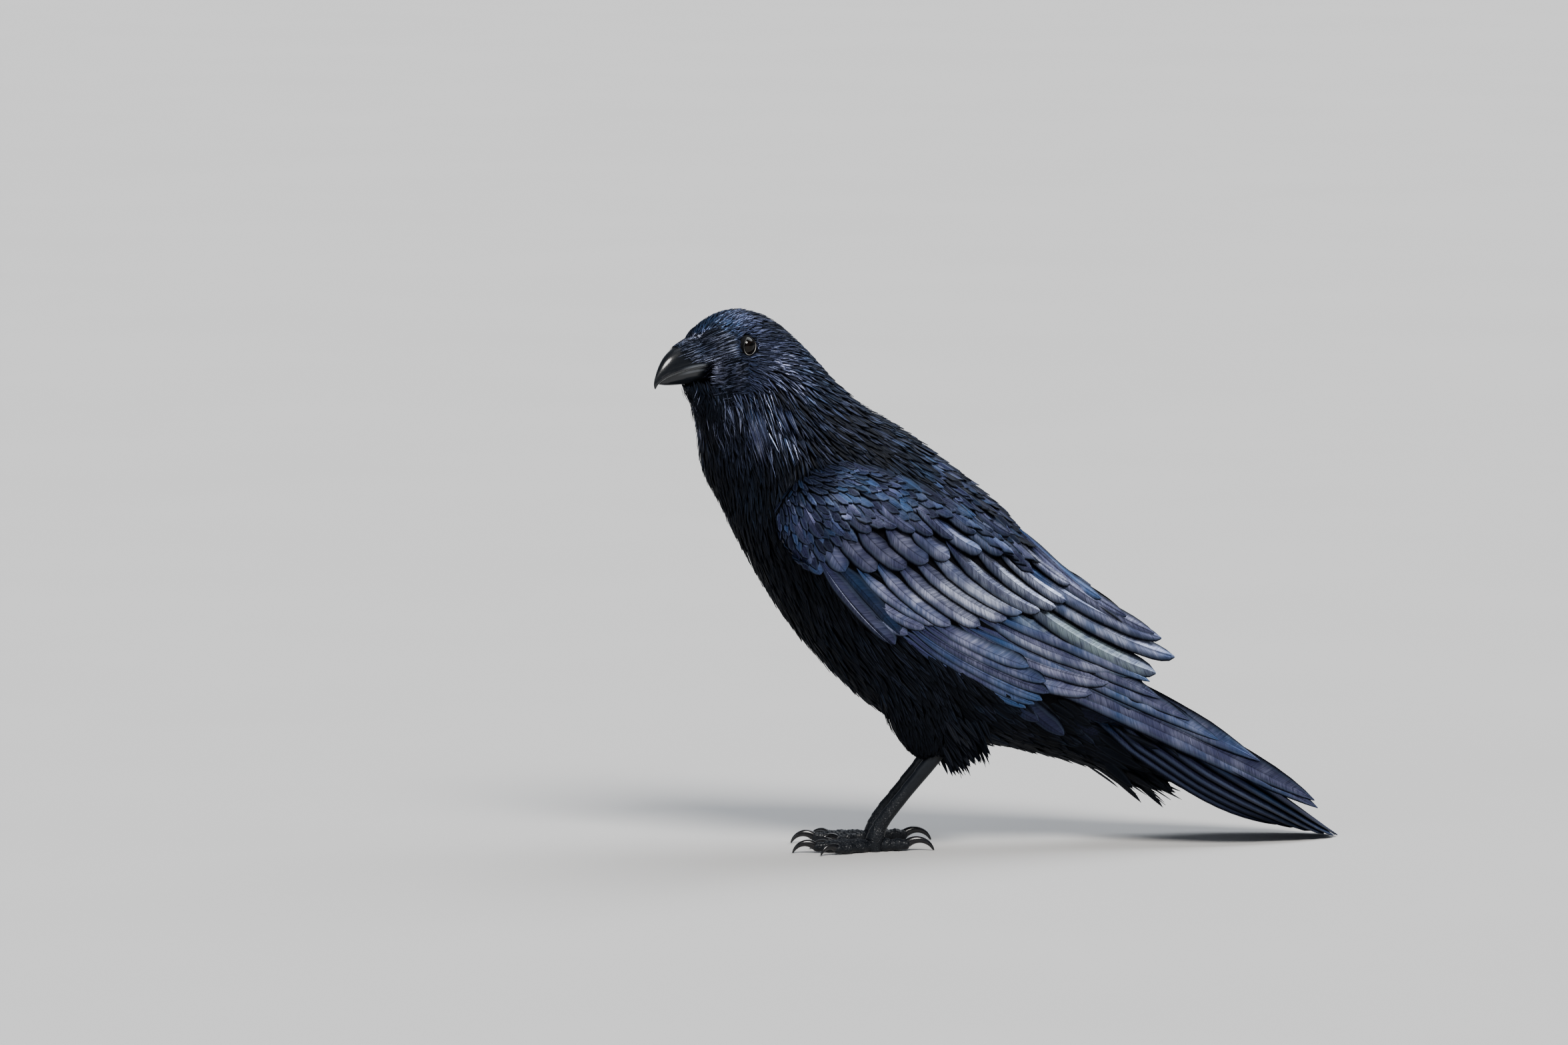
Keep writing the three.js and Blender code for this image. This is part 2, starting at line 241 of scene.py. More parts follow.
def blank(name):
    """A new material's tree, its shader and a Socket for Object coordinates."""
    material = bpy.data.materials.new(name)
    material.use_nodes = True
    tree = material.node_tree
    shader = tree.nodes["Principled BSDF"]
    place = node(tree, "ShaderNodeTexCoord", {}, out="Object")
    return material, tree, shader, place


def feed(tree, shader, **values):
    """Sets or links the named inputs of a shader."""
    for key, value in values.items():
        put(tree, shader.inputs[key.replace("_", " ")], value)


def bumped(tree, height, strength, distance):
    return node(tree, "ShaderNodeBump", {}, Strength=strength, Distance=distance, Height=height)


# The floor is a plain pale sheet of matt paper, faintly mottled, that reaches past the view
# on every side.
FLOOR_SIZE = 240.0
FLOOR_TONES = ((0.60, 0.595, 0.585), (0.64, 0.635, 0.625))
paper, tree, shader, place = blank("paper")
mottle = noise(tree, place, 3.0)
feed(tree, shader, Base_Color=blend(tree, mottle, *FLOOR_TONES), Roughness=0.9)
bpy.ops.object.select_all(action="DESELECT")
bpy.ops.mesh.primitive_plane_add(size=FLOOR_SIZE)
floor = bpy.context.object
floor.name = "floor"
floor.data.materials.append(paper)

# A low pale wall stands round the floor far behind. It glows evenly and casts no shadow, so
# that a view from low down shows the floor's tone carried on, with no dark sky over it.
WALL_RADIUS = 22.0
WALL_HEIGHT = 4.0
WALL_TONE = (0.84, 0.84, 0.835)
WALL_SIDES = 96
glow, tree, shader, place = blank("wall")
feed(tree, shader, Base_Color=(0, 0, 0), Specular_IOR_Level=0, Emission_Color=WALL_TONE,
     Emission_Strength=1)
bpy.ops.object.select_all(action="DESELECT")
bpy.ops.mesh.primitive_cylinder_add(
    vertices=WALL_SIDES, radius=WALL_RADIUS, depth=WALL_HEIGHT, end_fill_type="NOTHING",
)
wall = bpy.context.object
wall.name = "wall"
wall.data.materials.append(glow)
wall.visible_shadow = False

# The skin is one closed body under all the feathers: head, neck, trunk and thighs, with
# the flesh of the wings and the root of the tail. It is rounded out of the solids in one
# piece, and it lies below the coat's own surface.
FLESH = ("head", "neck", "trunk", "thigh_left", "thigh_right")
LIMBS = ("wing_left", "wing_right", "primaries_left", "primaries_right", "tail")
WING_FLESH = 112  # how far back the skin of the wings reaches, and that of the tail
TAIL_FLESH = 178
VOXEL = 1.9 * MM
SMOOTHING = 7
COAT_DEPTH = 3.0 * MM
FACE_DEPTH = 1.2 * MM
FACE_MIDDLE = (18, -4)  # forward and up
FACE_REACH = 85 * MM
THICKNESS_SHARE = 0.3  # no point sinks through more of a limb than this
BILL_AHEAD = (10, 14)  # between the two the skin narrows, to stay inside the bill
BILL_LEVELS = (-27, -24.5, -7.5, -6)
BILL_ROOM = ((12, 24, 36, 48), (10.2, 10.6, 9.4, 7.0))  # ahead, and half the width
JAW_TOP = -12
JAW_DEPTH = 13
JAW_SHARE = 0.82
PORE_TONES = ((0.003, 0.003, 0.004), (0.008, 0.008, 0.010))


def copied(name, nodes):
    """One object from copies of CAD nodes, with their loose triangles merged."""
    bpy.ops.object.select_all(action="DESELECT")
    for part in nodes:
        twin = bpy.data.objects.new(name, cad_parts[part].data.copy())
        bpy.context.scene.collection.objects.link(twin)
        twin.select_set(True)
        bpy.context.view_layer.objects.active = twin
    if len(nodes) > 1:
        bpy.ops.object.join()
    whole = bpy.context.object
    whole.name = name
    whole.data.materials.clear()
    bpy.ops.object.mode_set(mode="EDIT")
    bpy.ops.mesh.select_all(action="SELECT")
    bpy.ops.mesh.remove_doubles(threshold=1e-5)
    bpy.ops.object.mode_set(mode="OBJECT")
    return whole


def modified(thing, kind, **settings):
    """Adds a modifier and applies it."""
    bpy.context.view_layer.objects.active = thing
    change = thing.modifiers.new(kind.lower(), kind)
    for key, value in settings.items():
        setattr(change, key, value)
    bpy.ops.object.modifier_apply(modifier=change.name)


def corners(thing):
    """The places of a mesh object's vertices, one row each."""
    found = np.empty(len(thing.data.vertices) * 3)
    thing.data.vertices.foreach_get("co", found)
    return found.reshape(-1, 3)


def normals(thing):
    """The ways its surface looks there."""
    found = np.empty(len(thing.data.vertices) * 3)
    thing.data.vertex_normals.foreach_get("vector", found)
    return found.reshape(-1, 3)


def tree_of(thing):
    """A search tree over a mesh object."""
    faces = [tuple(face.vertices) for face in thing.data.polygons]
    return BVHTree.FromPolygons([tuple(spot) for spot in corners(thing)], faces)


def cut_off(thing, back):
    """Ends a limb flat, this many millimetres back."""
    spots = corners(thing)
    spots[:, 1] = np.minimum(spots[:, 1], at(0, back, 0)[1])
    thing.data.vertices.foreach_set("co", spots.ravel())
    return thing


def rounded(thing):
    """One closed and even surface round everything in an object."""
    modified(thing, "REMESH", mode="VOXEL", voxel_size=VOXEL, use_smooth_shade=True)
    modified(thing, "SMOOTH", factor=0.5, iterations=SMOOTHING)
    return thing


# Feathers lie along the outside of the whole bird, and grow from the skin.
outside = rounded(copied("outside", FLESH + LIMBS))
guide = tree_of(outside)
bpy.data.objects.remove(outside)
wing_flesh = cut_off(copied("wing_flesh", ("wing_left", "wing_right")), WING_FLESH)
wing_tree = tree_of(wing_flesh)
tail_flesh = cut_off(copied("tail_flesh", ("tail",)), TAIL_FLESH)
skin = copied("skin", FLESH)
wing_flesh.select_set(True)
tail_flesh.select_set(True)
bpy.ops.object.join()
rounded(skin)
form = tree_of(skin)
form_corners = corners(skin)
form_normals = normals(skin)
form_faces = np.array([tuple(face.vertices)[:4] for face in skin.data.polygons])

# How far each point sinks: less on the face, and never through a thin limb.
face_gap = np.linalg.norm(form_corners - head(*FACE_MIDDLE), axis=1)
face_share = np.clip(1 - face_gap / FACE_REACH, 0, 1)
depth = COAT_DEPTH + (FACE_DEPTH - COAT_DEPTH) * np.minimum(1, 2 * face_share)
for i, (spot, normal) in enumerate(zip(form_corners, form_normals)):
    hit = form.ray_cast(Vector(spot - normal * 0.2 * MM), Vector(-normal))
    if hit[0] is not None:
        depth[i] = min(depth[i], hit[3] * THICKNESS_SHARE)
sunk = form_corners - form_normals * depth[:, None]
ahead, level, out = head_parts(sunk)
narrow = np.interp(ahead, BILL_AHEAD, (0, 1)) * np.interp(level, BILL_LEVELS, (0, 1, 1, 0))
jaw_round = np.sqrt(np.clip(1 - ((JAW_TOP - level) / JAW_DEPTH) ** 2, 0.02, 1))
room = np.interp(ahead, *BILL_ROOM) * np.where(level < JAW_TOP, JAW_SHARE * jaw_round, 1)
pinch = np.maximum(np.abs(out) - room, 0) * narrow * np.sign(out)
sunk = sunk - pinch[:, None] * HEAD_LEFT * MM
skin.data.vertices.foreach_set("co", sunk.ravel())
modified(skin, "SMOOTH", factor=0.5, iterations=3)

bpy.ops.object.select_all(action="DESELECT")
skin.select_set(True)
bpy.context.view_layer.objects.active = skin
bpy.ops.object.mode_set(mode="EDIT")
bpy.ops.mesh.select_all(action="SELECT")
bpy.ops.uv.smart_project(angle_limit=math.radians(80), island_margin=0.002)
bpy.ops.object.mode_set(mode="OBJECT")
skin_uv = np.empty(len(skin.data.loops) * 2)
skin.data.uv_layers.active.data.foreach_get("uv", skin_uv)
skin_uv = skin_uv.reshape(-1, 2)
skin_start = np.empty(len(skin.data.polygons), int)
skin.data.polygons.foreach_get("loop_start", skin_start)

hide, tree, shader, place = blank("skin")
pores = noise(tree, place, 900.0, 3.0)
feed(tree, shader, Base_Color=blend(tree, pores, *PORE_TONES), Roughness=0.9,
     Specular_IOR_Level=0.08, Normal=bumped(tree, pores, 0.4, 0.0004))
skin.data.materials.append(hide)
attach(skin, "root")
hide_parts(*FLESH)


# Feather vanes are black keratin blades with a raised shaft. Their barbs slant forward to both sides,
# and a thin film over them gives the blue and violet sheen. Their silver is partly that film's pale
# sheen and partly a painted highlight. Each vane also carries painted shade towards its edges, a
# painted shadow line at its edge and a painted highlight band just inside that line.
NIGHT = (0.0014, 0.0021, 0.0040)
SOOT = (0.0040, 0.0060, 0.0100)
BLUE = (0.046, 0.104, 0.235)
VIOLET = (0.070, 0.076, 0.165)
SILVER_SHEEN = (0.74, 0.76, 0.96)
GREEN = (0.30, 0.42, 0.38)
RIM_HIGHLIGHT = (0.20, 0.26, 0.38)
BARB_SLANT = 0.8
BARBS = (1500, 90, 70)  # how fine single barbs are: along the vane, across it, and by chance
BANDS = (520, 90, 40)  # and the bands that they cling together in
CLOUDS = 26.0
GLINTS = 60.0
BARB_RISE = 0.0004
PATCH = 0.003  # each vane's place in the bake map
EDGE_SHADOW = 0.34  # how wide the painted shadow line along a vane's edge is, with a share of its half width
EDGE_SHADOW_SHARE = 0.12
EDGE_SHADOW_MOST = 0.3  # of its half width
SMOOTH_ANGLE = math.radians(50)

plume, tree, shader, place = blank("feather")
vane = attribute(tree, "vane")
dress = attribute(tree, "dress")
barb = attribute(tree, "barb")
across, along, chance = parts_of(tree, vane)
gloss, blue, silver = parts_of(tree, dress)
side, reach, green = parts_of(tree, barb)
slant = reach - abs(side) * BARB_SLANT
streak, band = (
    noise(tree, node(tree, "ShaderNodeCombineXYZ", {}, slant * fine, side * wide, chance * apart),
          1.0, 2.0, rough)
    for (fine, wide, apart), rough in ((BARBS, 0.6), (BANDS, 0.5))
)
cloud = noise(tree, place, CLOUDS)
margin = attribute(tree, "margin", "Fac")
# Painted shadow: a dark line along each vane's edge, where the feather over it would shade it.
edge_shadow = 1 - margin.step(0.2, 1.0)
# Painted highlight: a paler band just inside that line, where a curved edge would catch the light.
rim_highlight = margin.step(0.8, 1.4) * (1 - margin.step(1.8, 3.0))
shaft = 1 - abs(across).step(0.02, 0.07)
glint = noise(tree, place, GLINTS)
# Painted sheen: silver and green are laid on strongest in the middle of each vane, weaker at its tip,
# and in patches.
lit = along.step(0.05, 0.45) * (1 - along.step(0.80, 1.0) * 0.5)
lit = lit * (0.3 + glint.step(0.34, 0.64) * 0.7)
tone = blend(tree, (cloud * 1.6 + chance * 0.5 - 0.75).step(0.2, 0.8), VIOLET, BLUE)
tone = blend(tree, silver * lit * (band.step(0.25, 0.75) * 0.7 + 0.4), tone, SILVER_SHEEN)
tone = blend(tree, green * lit * (0.3 + band), tone, GREEN)
matt = blend(tree, blue * 0.5, NIGHT, SOOT)
shine = gloss * (0.30 + streak * 0.9 + chance * 0.25)
tone = blend(tree, shine.step(0.0, 1.05), matt, tone)
tone = blend(tree, rim_highlight * 0.45 * gloss, tone, RIM_HIGHLIGHT)
tone = blend(tree, shaft * 0.4, tone, NIGHT)
# Painted shade: each vane darkens towards both its edges.
tone = blend(tree, abs(across).step(0.2, 1.05) * 0.9, tone, NIGHT)
tone = blend(tree, edge_shadow * 0.9, tone, NIGHT)
rough = 0.54 - gloss * 0.24 + (streak - 0.5) * 0.22 + (chance - 0.5) * 0.08
height = streak * 0.7 + band * 0.5
feed(tree, shader, Base_Color=tone, Metallic=(gloss * 1.5).step(0.0, 1.0) * 0.72, Roughness=rough,
     Specular_IOR_Level=0.12, Normal=bumped(tree, height, 0.35, BARB_RISE))

# A small vane is a thin lens in section: across in half widths, rise in half thicknesses,
# and the place across for the pattern.
THIN = np.array(((-1, 0, -1), (0, 1, 0), (1, 0, 1), (0, -1, 0)))


def vanes(name, line, side, up, half, thick, bend, facts, ring=THIN):
    """One mesh of closed vanes. line, side and up are vane x station x 3, half is the half
    width, thick half the thickness and bend how far the edges curl down, in half widths.
    Facts hold what differs from vane to vane, and ring is the section."""
    count, stations = line.shape[:2]
    points = len(ring)
    lateral = ring[:, 0] * half[..., None]
    curl = bend[..., None] * half[..., None] * ring[:, 0] ** 2
    rise = ring[:, 1] * thick[..., None] - curl
    spot = line[:, :, None] + side[:, :, None] * lateral[..., None]
    spot = spot + up[:, :, None] * rise[..., None]
    number = np.arange(count * stations * points).reshape(count, stations, points)
    here, there = number[:, :-1], number[:, 1:]
    walls = np.stack((here, np.roll(here, -1, 2), np.roll(there, -1, 2), there), -1)
    caps = np.stack((number[:, 0, ::-1], number[:, -1]), 1)
    loops = np.concatenate((walls.ravel(), caps.ravel()))
    starts = np.concatenate((
        np.arange(walls.size // 4) * 4,
        walls.size + np.arange(2 * count) * points,
    ))
    mesh = bpy.data.meshes.new(name)
    mesh.vertices.add(number.size)
    mesh.vertices.foreach_set("co", spot.astype(np.float32).ravel())
    mesh.loops.add(len(loops))
    mesh.loops.foreach_set("vertex_index", loops.astype(np.int32))
    mesh.polygons.add(len(starts))
    mesh.polygons.foreach_set("loop_start", starts.astype(np.int32))
    mesh.update(calc_edges=True)

    reach = np.cumsum(np.linalg.norm(np.diff(line, axis=1, prepend=line[:, :1]), axis=2), 1)
    share = reach / reach[:, -1:]
    full = (count, stations, points)
    across = np.broadcast_to(ring[:, 2], full)
    along = np.broadcast_to(share[..., None], full)
    chance, gloss, blue, silver, green = (
        np.broadcast_to(facts[key][:, None, None], full)
        for key in ("chance", "gloss", "blue", "silver", "green")
    )
    fields = {
        "vane": (across, along, chance),
        "dress": (gloss, blue, silver),
        "barb": (lateral, np.broadcast_to(reach[..., None], full), green),
    }
    for key, values in fields.items():
        layer = mesh.attributes.new(key, "FLOAT_VECTOR", "POINT")
        layer.data.foreach_set("vector", np.stack(values, -1).astype(np.float32).ravel())
    wide = half[..., None] / MM
    # The painted shadow line along a vane's edge is this wide; margin counts from the edge in its
    # widths.
    edge_shadow = np.minimum(EDGE_SHADOW + EDGE_SHADOW_SHARE * wide, EDGE_SHADOW_MOST * wide + 1e-6)
    margin = (1 - np.abs(across)) * wide / edge_shadow
    layer = mesh.attributes.new("margin", "FLOAT", "POINT")
    layer.data.foreach_set("value", margin.astype(np.float32).ravel())
    patch = facts["spots"][:, None, None] + np.stack((across, along * 2 - 1), -1) * PATCH / 2
    layer = mesh.uv_layers.new(name="OFBake")
    layer.data.foreach_set("uv", patch.reshape(-1, 2)[loops].astype(np.float32).ravel())
    mesh.materials.append(plume)
    piece = bpy.data.objects.new(name, mesh)
    bpy.context.scene.collection.objects.link(piece)
    bpy.ops.object.select_all(action="DESELECT")
    piece.select_set(True)
    bpy.context.view_layer.objects.active = piece
    bpy.ops.object.shade_smooth_by_angle(angle=SMOOTH_ANGLE)
    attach(piece, "root")
    return piece


def skin_spots(points):
    """Where points lie on the skin's unwrap."""
    found = [form.find_nearest(Vector(point))[2] for point in points]
    return skin_uv[skin_start[np.array(found)]]


OPENING_SHARE = 0.3


def profile(share, blunt, power):
    """A vane's width along it: it opens from its root and closes towards its tip."""
    opening = np.clip(share / OPENING_SHARE, 0.02, 1) ** 0.55
    closing = np.clip((share - blunt) / (1 - blunt), 0, 0.995)
    return opening * (1 - closing**2) ** power


# The coat's small feathers grow from the skin and lie over one another like tiles: short
# on the face, long and narrow on the throat, broad on the back. Each row says where, which
# way they lie, their length and width, and their gloss, blue and silver. Spots between the
# rows take a blend of them.
def face_row(forward, up, left, way, length, width, gloss, blue, silver):
    return [
        (head(forward, up, side * left), head_way(way[0], way[1], side * way[2]),
         length, width, gloss, blue, silver)
        for side in ((1, -1) if left else (1,))
    ]


def body_row(x, y, z, way, length, width, gloss, blue, silver):
    return [
        (at(side * x, y, z), np.array((side * way[0], way[1], way[2])),
         length, width, gloss, blue, silver)
        for side in ((1, -1) if x else (1,))
    ]


COAT = (
    face_row(34, 9, 0, (-0.8, 0.6, 0), 4.5, 1.6, 0.75, 0.9, 0)
    + face_row(8, 23, 0, (-1, 0.05, 0), 6, 1.9, 0.85, 0.9, 0.05)
    + face_row(6, 14, 17, (-1, 0.1, 0), 5.5, 1.8, 0.85, 0.9, 0.05)
    + face_row(24, 2, 13, (-0.9, -0.2, 0), 4, 1.2, 0.10, 0.1, 0)
    + face_row(14, -8, 17, (-0.9, -0.3, 0), 4, 1.3, 0.15, 0.2, 0)
    + face_row(4, -14, 21, (-0.9, -0.45, 0), 6, 1.4, 0.8, 0.9, 0.15)
    + face_row(-12, -6, 23, (-0.97, -0.2, 0), 8.5, 1.3, 0.62, 0.6, 0.14)
    + face_row(-6, -24, 24, (-0.75, -0.65, 0), 9, 1.5, 0.7, 0.9, 0.15)
    + face_row(-24, 16, 10, (-0.85, -0.5, 0), 9, 1.8, 0.3, 0.4, 0)
    + face_row(34, -27, 0, (-0.3, -0.95, 0), 8, 1.2, 0.15, 0.2, 0)
    + face_row(22, -34, 13, (-0.6, -0.8, 0), 12, 1.3, 0.3, 0.2, 0.15)
    + face_row(28, -45, 0, (-0.2, -1, 0), 15, 1.6, 0.1, 0.2, 0)
    + face_row(2, -46, 24, (-0.4, -0.9, 0), 16, 1.7, 0.4, 0.8, 0.05)
    + body_row(0, -79, 366, (0, 0.72, -0.7), 13, 2.0, 0.32, 0.6, 0)
    + body_row(33, -86, 318, (-0.1, 0.35, -0.93), 15, 1.7, 0.14, 0.3, 0)
    + body_row(6, -119, 262, (0, 0.05, -1), 18, 1.9, 0.1, 0.3, 0)
    + body_row(38, -80, 262, (0, 0.15, -1), 18, 2.1, 0.12, 0.3, 0)
    + body_row(0, -103, 221, (0, 0.3, -0.95), 20, 2.6, 0.08, 0.2, 0)
    + body_row(48, -72, 200, (0, 0.45, -0.9), 20, 2.8, 0.08, 0.2, 0)
    + body_row(0, -70, 163, (0, 0.55, -0.83), 20, 3.0, 0.08, 0.2, 0)
    + body_row(50, -10, 130, (0, 0.65, -0.76), 22, 3.4, 0.12, 0.3, 0)
    + body_row(0, -2, 93, (0, 0.82, -0.55), 22, 3.6, 0.08, 0.2, 0)
    + body_row(42, 60, 85, (0, 0.78, -0.62), 26, 5.5, 0.14, 0.3, 0)
    + body_row(0, 84, 68, (0, 0.97, -0.2), 26, 6.5, 0.08, 0.2, 0)
    + body_row(0, 164, 46, (0, 0.9, -0.45), 30, 9, 0.1, 0.2, 0)
    + body_row(0, -20, 309.5, (0, 0.74, -0.67), 17, 3.4, 0.34, 0.6, 0)
    + body_row(34, -30, 290, (0.1, 0.7, -0.7), 16, 3.0, 0.22, 0.4, 0)
    + body_row(0, 50, 262, (0, 0.68, -0.73), 22, 7, 0.45, 0.8, 0)
    + body_row(0, 114, 200, (0, 0.68, -0.73), 25, 11, 0.5, 0.6, 0)
    + body_row(0, 178, 118, (0, 0.75, -0.65), 28, 12, 0.45, 0.5, 0)
    + body_row(24, 25, 90, (0, 0.2, -0.98), 13, 2.6, 0.06, 0.2, 0)
    + body_row(24, 38, 68, (0, -0.1, -1), 8, 1.8, 0.06, 0.2, 0)
)
COAT_STATIONS = np.array((0, 0.2, 0.5, 0.78, 1.0))
COAT_TRIES = 210000
LAYERS = 0.43  # spacing over the root of a feather's area
BLEND_POWER = 4


def blended(points, rows):
    """The rows' values at points, by distance."""
    places = np.array([row[0] for row in rows])
    values = np.array([(*row[1], *row[2:]) for row in rows])
    gaps = np.linalg.norm(points[:, None] - places, axis=2) / MM + 1
    weights = gaps**-BLEND_POWER
    return weights @ values / weights.sum(1, keepdims=True)


def scattered(keep, rows, tries, spacing):
    """Roots spread over the form, spaced by the size of the feathers there."""
    a, b, c, d = (form_corners[form_faces[:, k]] for k in range(4))
    area = np.linalg.norm(np.cross(c - a, d - b), axis=1) * keep
    face = rng.choice(len(area), tries, p=area / area.sum())
    u, v = rng.random((2, tries, 1))
    points = (a[face] * (1 - u) + b[face] * u) * (1 - v) + (d[face] * (1 - u) + c[face] * u) * v
    values = blended(points, rows)
    gap = spacing(values) * MM
    cell = gap.max()
    grid = {}
    kept = []
    keys = np.floor(points / cell).astype(int)
    for i in range(tries):
        x, y, z = keys[i]
        near = [
            j
            for dx in (-1, 0, 1) for dy in (-1, 0, 1) for dz in (-1, 0, 1)
            for j in grid.get((x + dx, y + dy, z + dz), ())
        ]
        if near and (((points[near] - points[i]) ** 2).sum(1) < gap[i] ** 2).any():
            continue
        grid.setdefault((x, y, z), []).append(i)
        kept.append(i)
    return points[kept], values[kept]


FOLLOW = 0.7  # how soon a feather follows a turn of what it lies on


def laid(points, ways, lengths, stations, surface, sink, lift):
    """Lines that run over a surface from its points, rising from sink to lift."""
    count = len(points)
    line = np.empty((count, len(stations), 3))
    up = np.empty_like(line)
    for i in range(count):
        spot = Vector(points[i])
        way = Vector(ways[i])
        normal = surface.find_nearest(spot)[1]
        before = 0.0
        for k, share in enumerate(stations):
            way = way - normal * way.dot(normal)
            way.normalize()
            spot = spot + way * (lengths[i] * (share - before))
            before = share
            near, facing = surface.find_nearest(spot)[:2]
            normal = (normal + facing * FOLLOW).normalized()
            spot = near
            line[i, k] = near + normal * (sink[i] + (lift[i] - sink[i]) * share**0.8)
            up[i, k] = normal
    return line, up


def sideways(line, up):
    """The across and up directions of lines, square to the way they run."""
    way = unit(np.gradient(line, axis=1))
    side = unit(np.cross(way, up))
    return side, unit(np.cross(side, way))


def facts_of(points, **values):
    """What differs from vane to vane: chance, shine and where its root lies on the skin."""
    count = len(points)
    facts = {"chance": rng.random(count), "green": np.zeros(count), "spots": skin_spots(points)}
    facts.update({key: np.broadcast_to(value, count) for key, value in values.items()})
    return facts


def nearest_gap(tree, points):
    """How far each point is from a search tree's surface."""
    return np.array([tree.find_nearest(Vector(point))[3] for point in points])


CLEARANCE = 3.0 * MM


def coat(name, points, values, blunt=0.35, power=0.9, sink=-2.2, lift=0.2, bend=0.25,
         wild=0.12, fleck=0.0, vary=1.0, clear=None):
    """Small feathers on the form, from their roots and the blended rows. They rise from
    sink to lift, wild turns them and vary changes their gloss by chance, and fleck is the
    silver of a few. Those that run on to a limb's tree, clear, are left out."""
    if clear:
        flat = np.zeros(len(points))
        path = laid(points, values[:, :3], values[:, 3] * MM, COAT_STATIONS, guide, flat, flat)[0]
        gaps = nearest_gap(clear, path[:, -2:].reshape(-1, 3)).reshape(-1, 2)
        free = gaps.min(1) > CLEARANCE
        points, values = points[free], values[free]
    count = len(points)
    ways = unit(values[:, :3]) + rng.normal(0, wild, (count, 3))
    lengths = values[:, 3] * MM * rng.uniform(0.8, 1.2, count)
    short = np.clip(values[:, 3] / 14, 0.35, 1.2) * MM
    line, up = laid(points, ways, lengths, COAT_STATIONS, guide,
                    sink * short, (lift + rng.normal(0, 0.25, count)) * short)
    side, up = sideways(line, up)
    roll = rng.normal(0, 0.14, count)[:, None, None]
    side, up = unit(side + up * roll), unit(up - side * roll)
    width = values[:, 4] * MM * rng.uniform(0.85, 1.15, count) / 2
    half = width[:, None] * profile(COAT_STATIONS, blunt, power)
    thick = np.broadcast_to(0.16 * MM * np.clip(values[:, 4:5] / 3, 0.5, 1.4), half.shape)
    luck = rng.random(count)
    facts = facts_of(
        points, gloss=np.clip(values[:, 5] * (1 + vary * (1.25 * luck**1.6 - 0.55)), 0, 1),
        blue=np.clip(values[:, 6], 0, 1), silver=np.clip(values[:, 7] + fleck * (luck > 0.8), 0, 1),
    )
    return vanes(name, line, side, up, half, thick, np.full_like(half, bend), facts)


limbs = copied("limb_mould", LIMBS[:4])
limb_tree = tree_of(limbs)
bpy.data.objects.remove(limbs)
CLOSE = 1.6 * MM
GROOVE = ((15, 25, 37, 45), (15.5, 11, 6, 2.2))  # ahead, and where the crown's feathers end
EYE_GAP = 6.9 * MM
centres = form_corners[form_faces].mean(1)
centre_mm = (centres - ORIGIN) / MM
on_wing = nearest_gap(wing_tree, centres) < CLOSE
inside = nearest_gap(guide, centres) > CLOSE
ahead, level, out = head_parts(centres)
on_nose = (ahead > 15) & (level > -10) & (np.abs(out) > np.interp(ahead, *GROOVE))
on_jaw = (ahead > 22) & (level <= -10) & (level > -22)
near_eye = np.minimum(
    np.linalg.norm(centres - head(0, 0, EYE_OUT), axis=1),
    np.linalg.norm(centres - head(0, 0, -EYE_OUT), axis=1),
) < EYE_GAP
body_area = ~on_wing & ~inside & ~on_nose & ~on_jaw & ~near_eye


def contour_spacing(values):
    return LAYERS * np.sqrt(values[:, 3] * values[:, 4])


BROAD = 4.4  # the width from which a feather has a rounded tip
HEAD_ABOVE = 318
NECK_ABOVE = 250
RUMP_BACK = 88
RUMP_ABOVE = 90
roots, values = scattered(body_area, COAT, COAT_TRIES, contour_spacing)
broad = values[:, 4] > BROAD
x, back, high = ((roots - ORIGIN) / MM).T
regions = {
    "head_feathers": (~broad & (high > HEAD_ABOVE), 0.10),
    "neck_feathers": (~broad & (high <= HEAD_ABOVE) & (high > NECK_ABOVE), 0.05),
    "breast_feathers": (~broad & (high <= NECK_ABOVE) & (back < 0), 0.05),
    "belly_feathers": (~broad & (high <= NECK_ABOVE) & (back >= 0), 0.05),
}
for name, (chosen, fleck) in regions.items():
    coat(name, roots[chosen], values[chosen], fleck=fleck)
rump = broad & (back > RUMP_BACK) & (high > RUMP_ABOVE)
coat("back_feathers", roots[broad & ~rump], values[broad & ~rump], blunt=0.6, power=0.6, wild=0.06)
coat("rump_feathers", roots[rump], values[rump], blunt=0.6, power=0.6, sink=-3.0, lift=-0.5,
     wild=0.05, clear=limb_tree)

# The eyes are wet balls, nearly black, with a dark brown iris. Black lids of bare skin hold
# them, and the lids' rim is a thin grey ring that shows most below.
EYE_RADIUS = 7.0
IRIS = 5.0  # radius, from the eye's axis
PUPIL = 2.7
LID_TURNS, LID_ROUND = 64, 24
LID_RING = 5.8  # radius of the pale rim
LID_LONG, LID_HIGH = 1.04, 0.96
BROW = 0.5  # the lids' upper edge comes down by this
LID_SECTION = (  # from the axis, and out from between the eyes
    (5.55, 21.2), (5.62, 21.75), (5.9, 21.9), (6.2, 21.55), (6.7, 20.8),
    (7.6, 19.6), (7.9, 18.4), (7.0, 17.6), (6.3, 18.8), (5.8, 20.2),
)


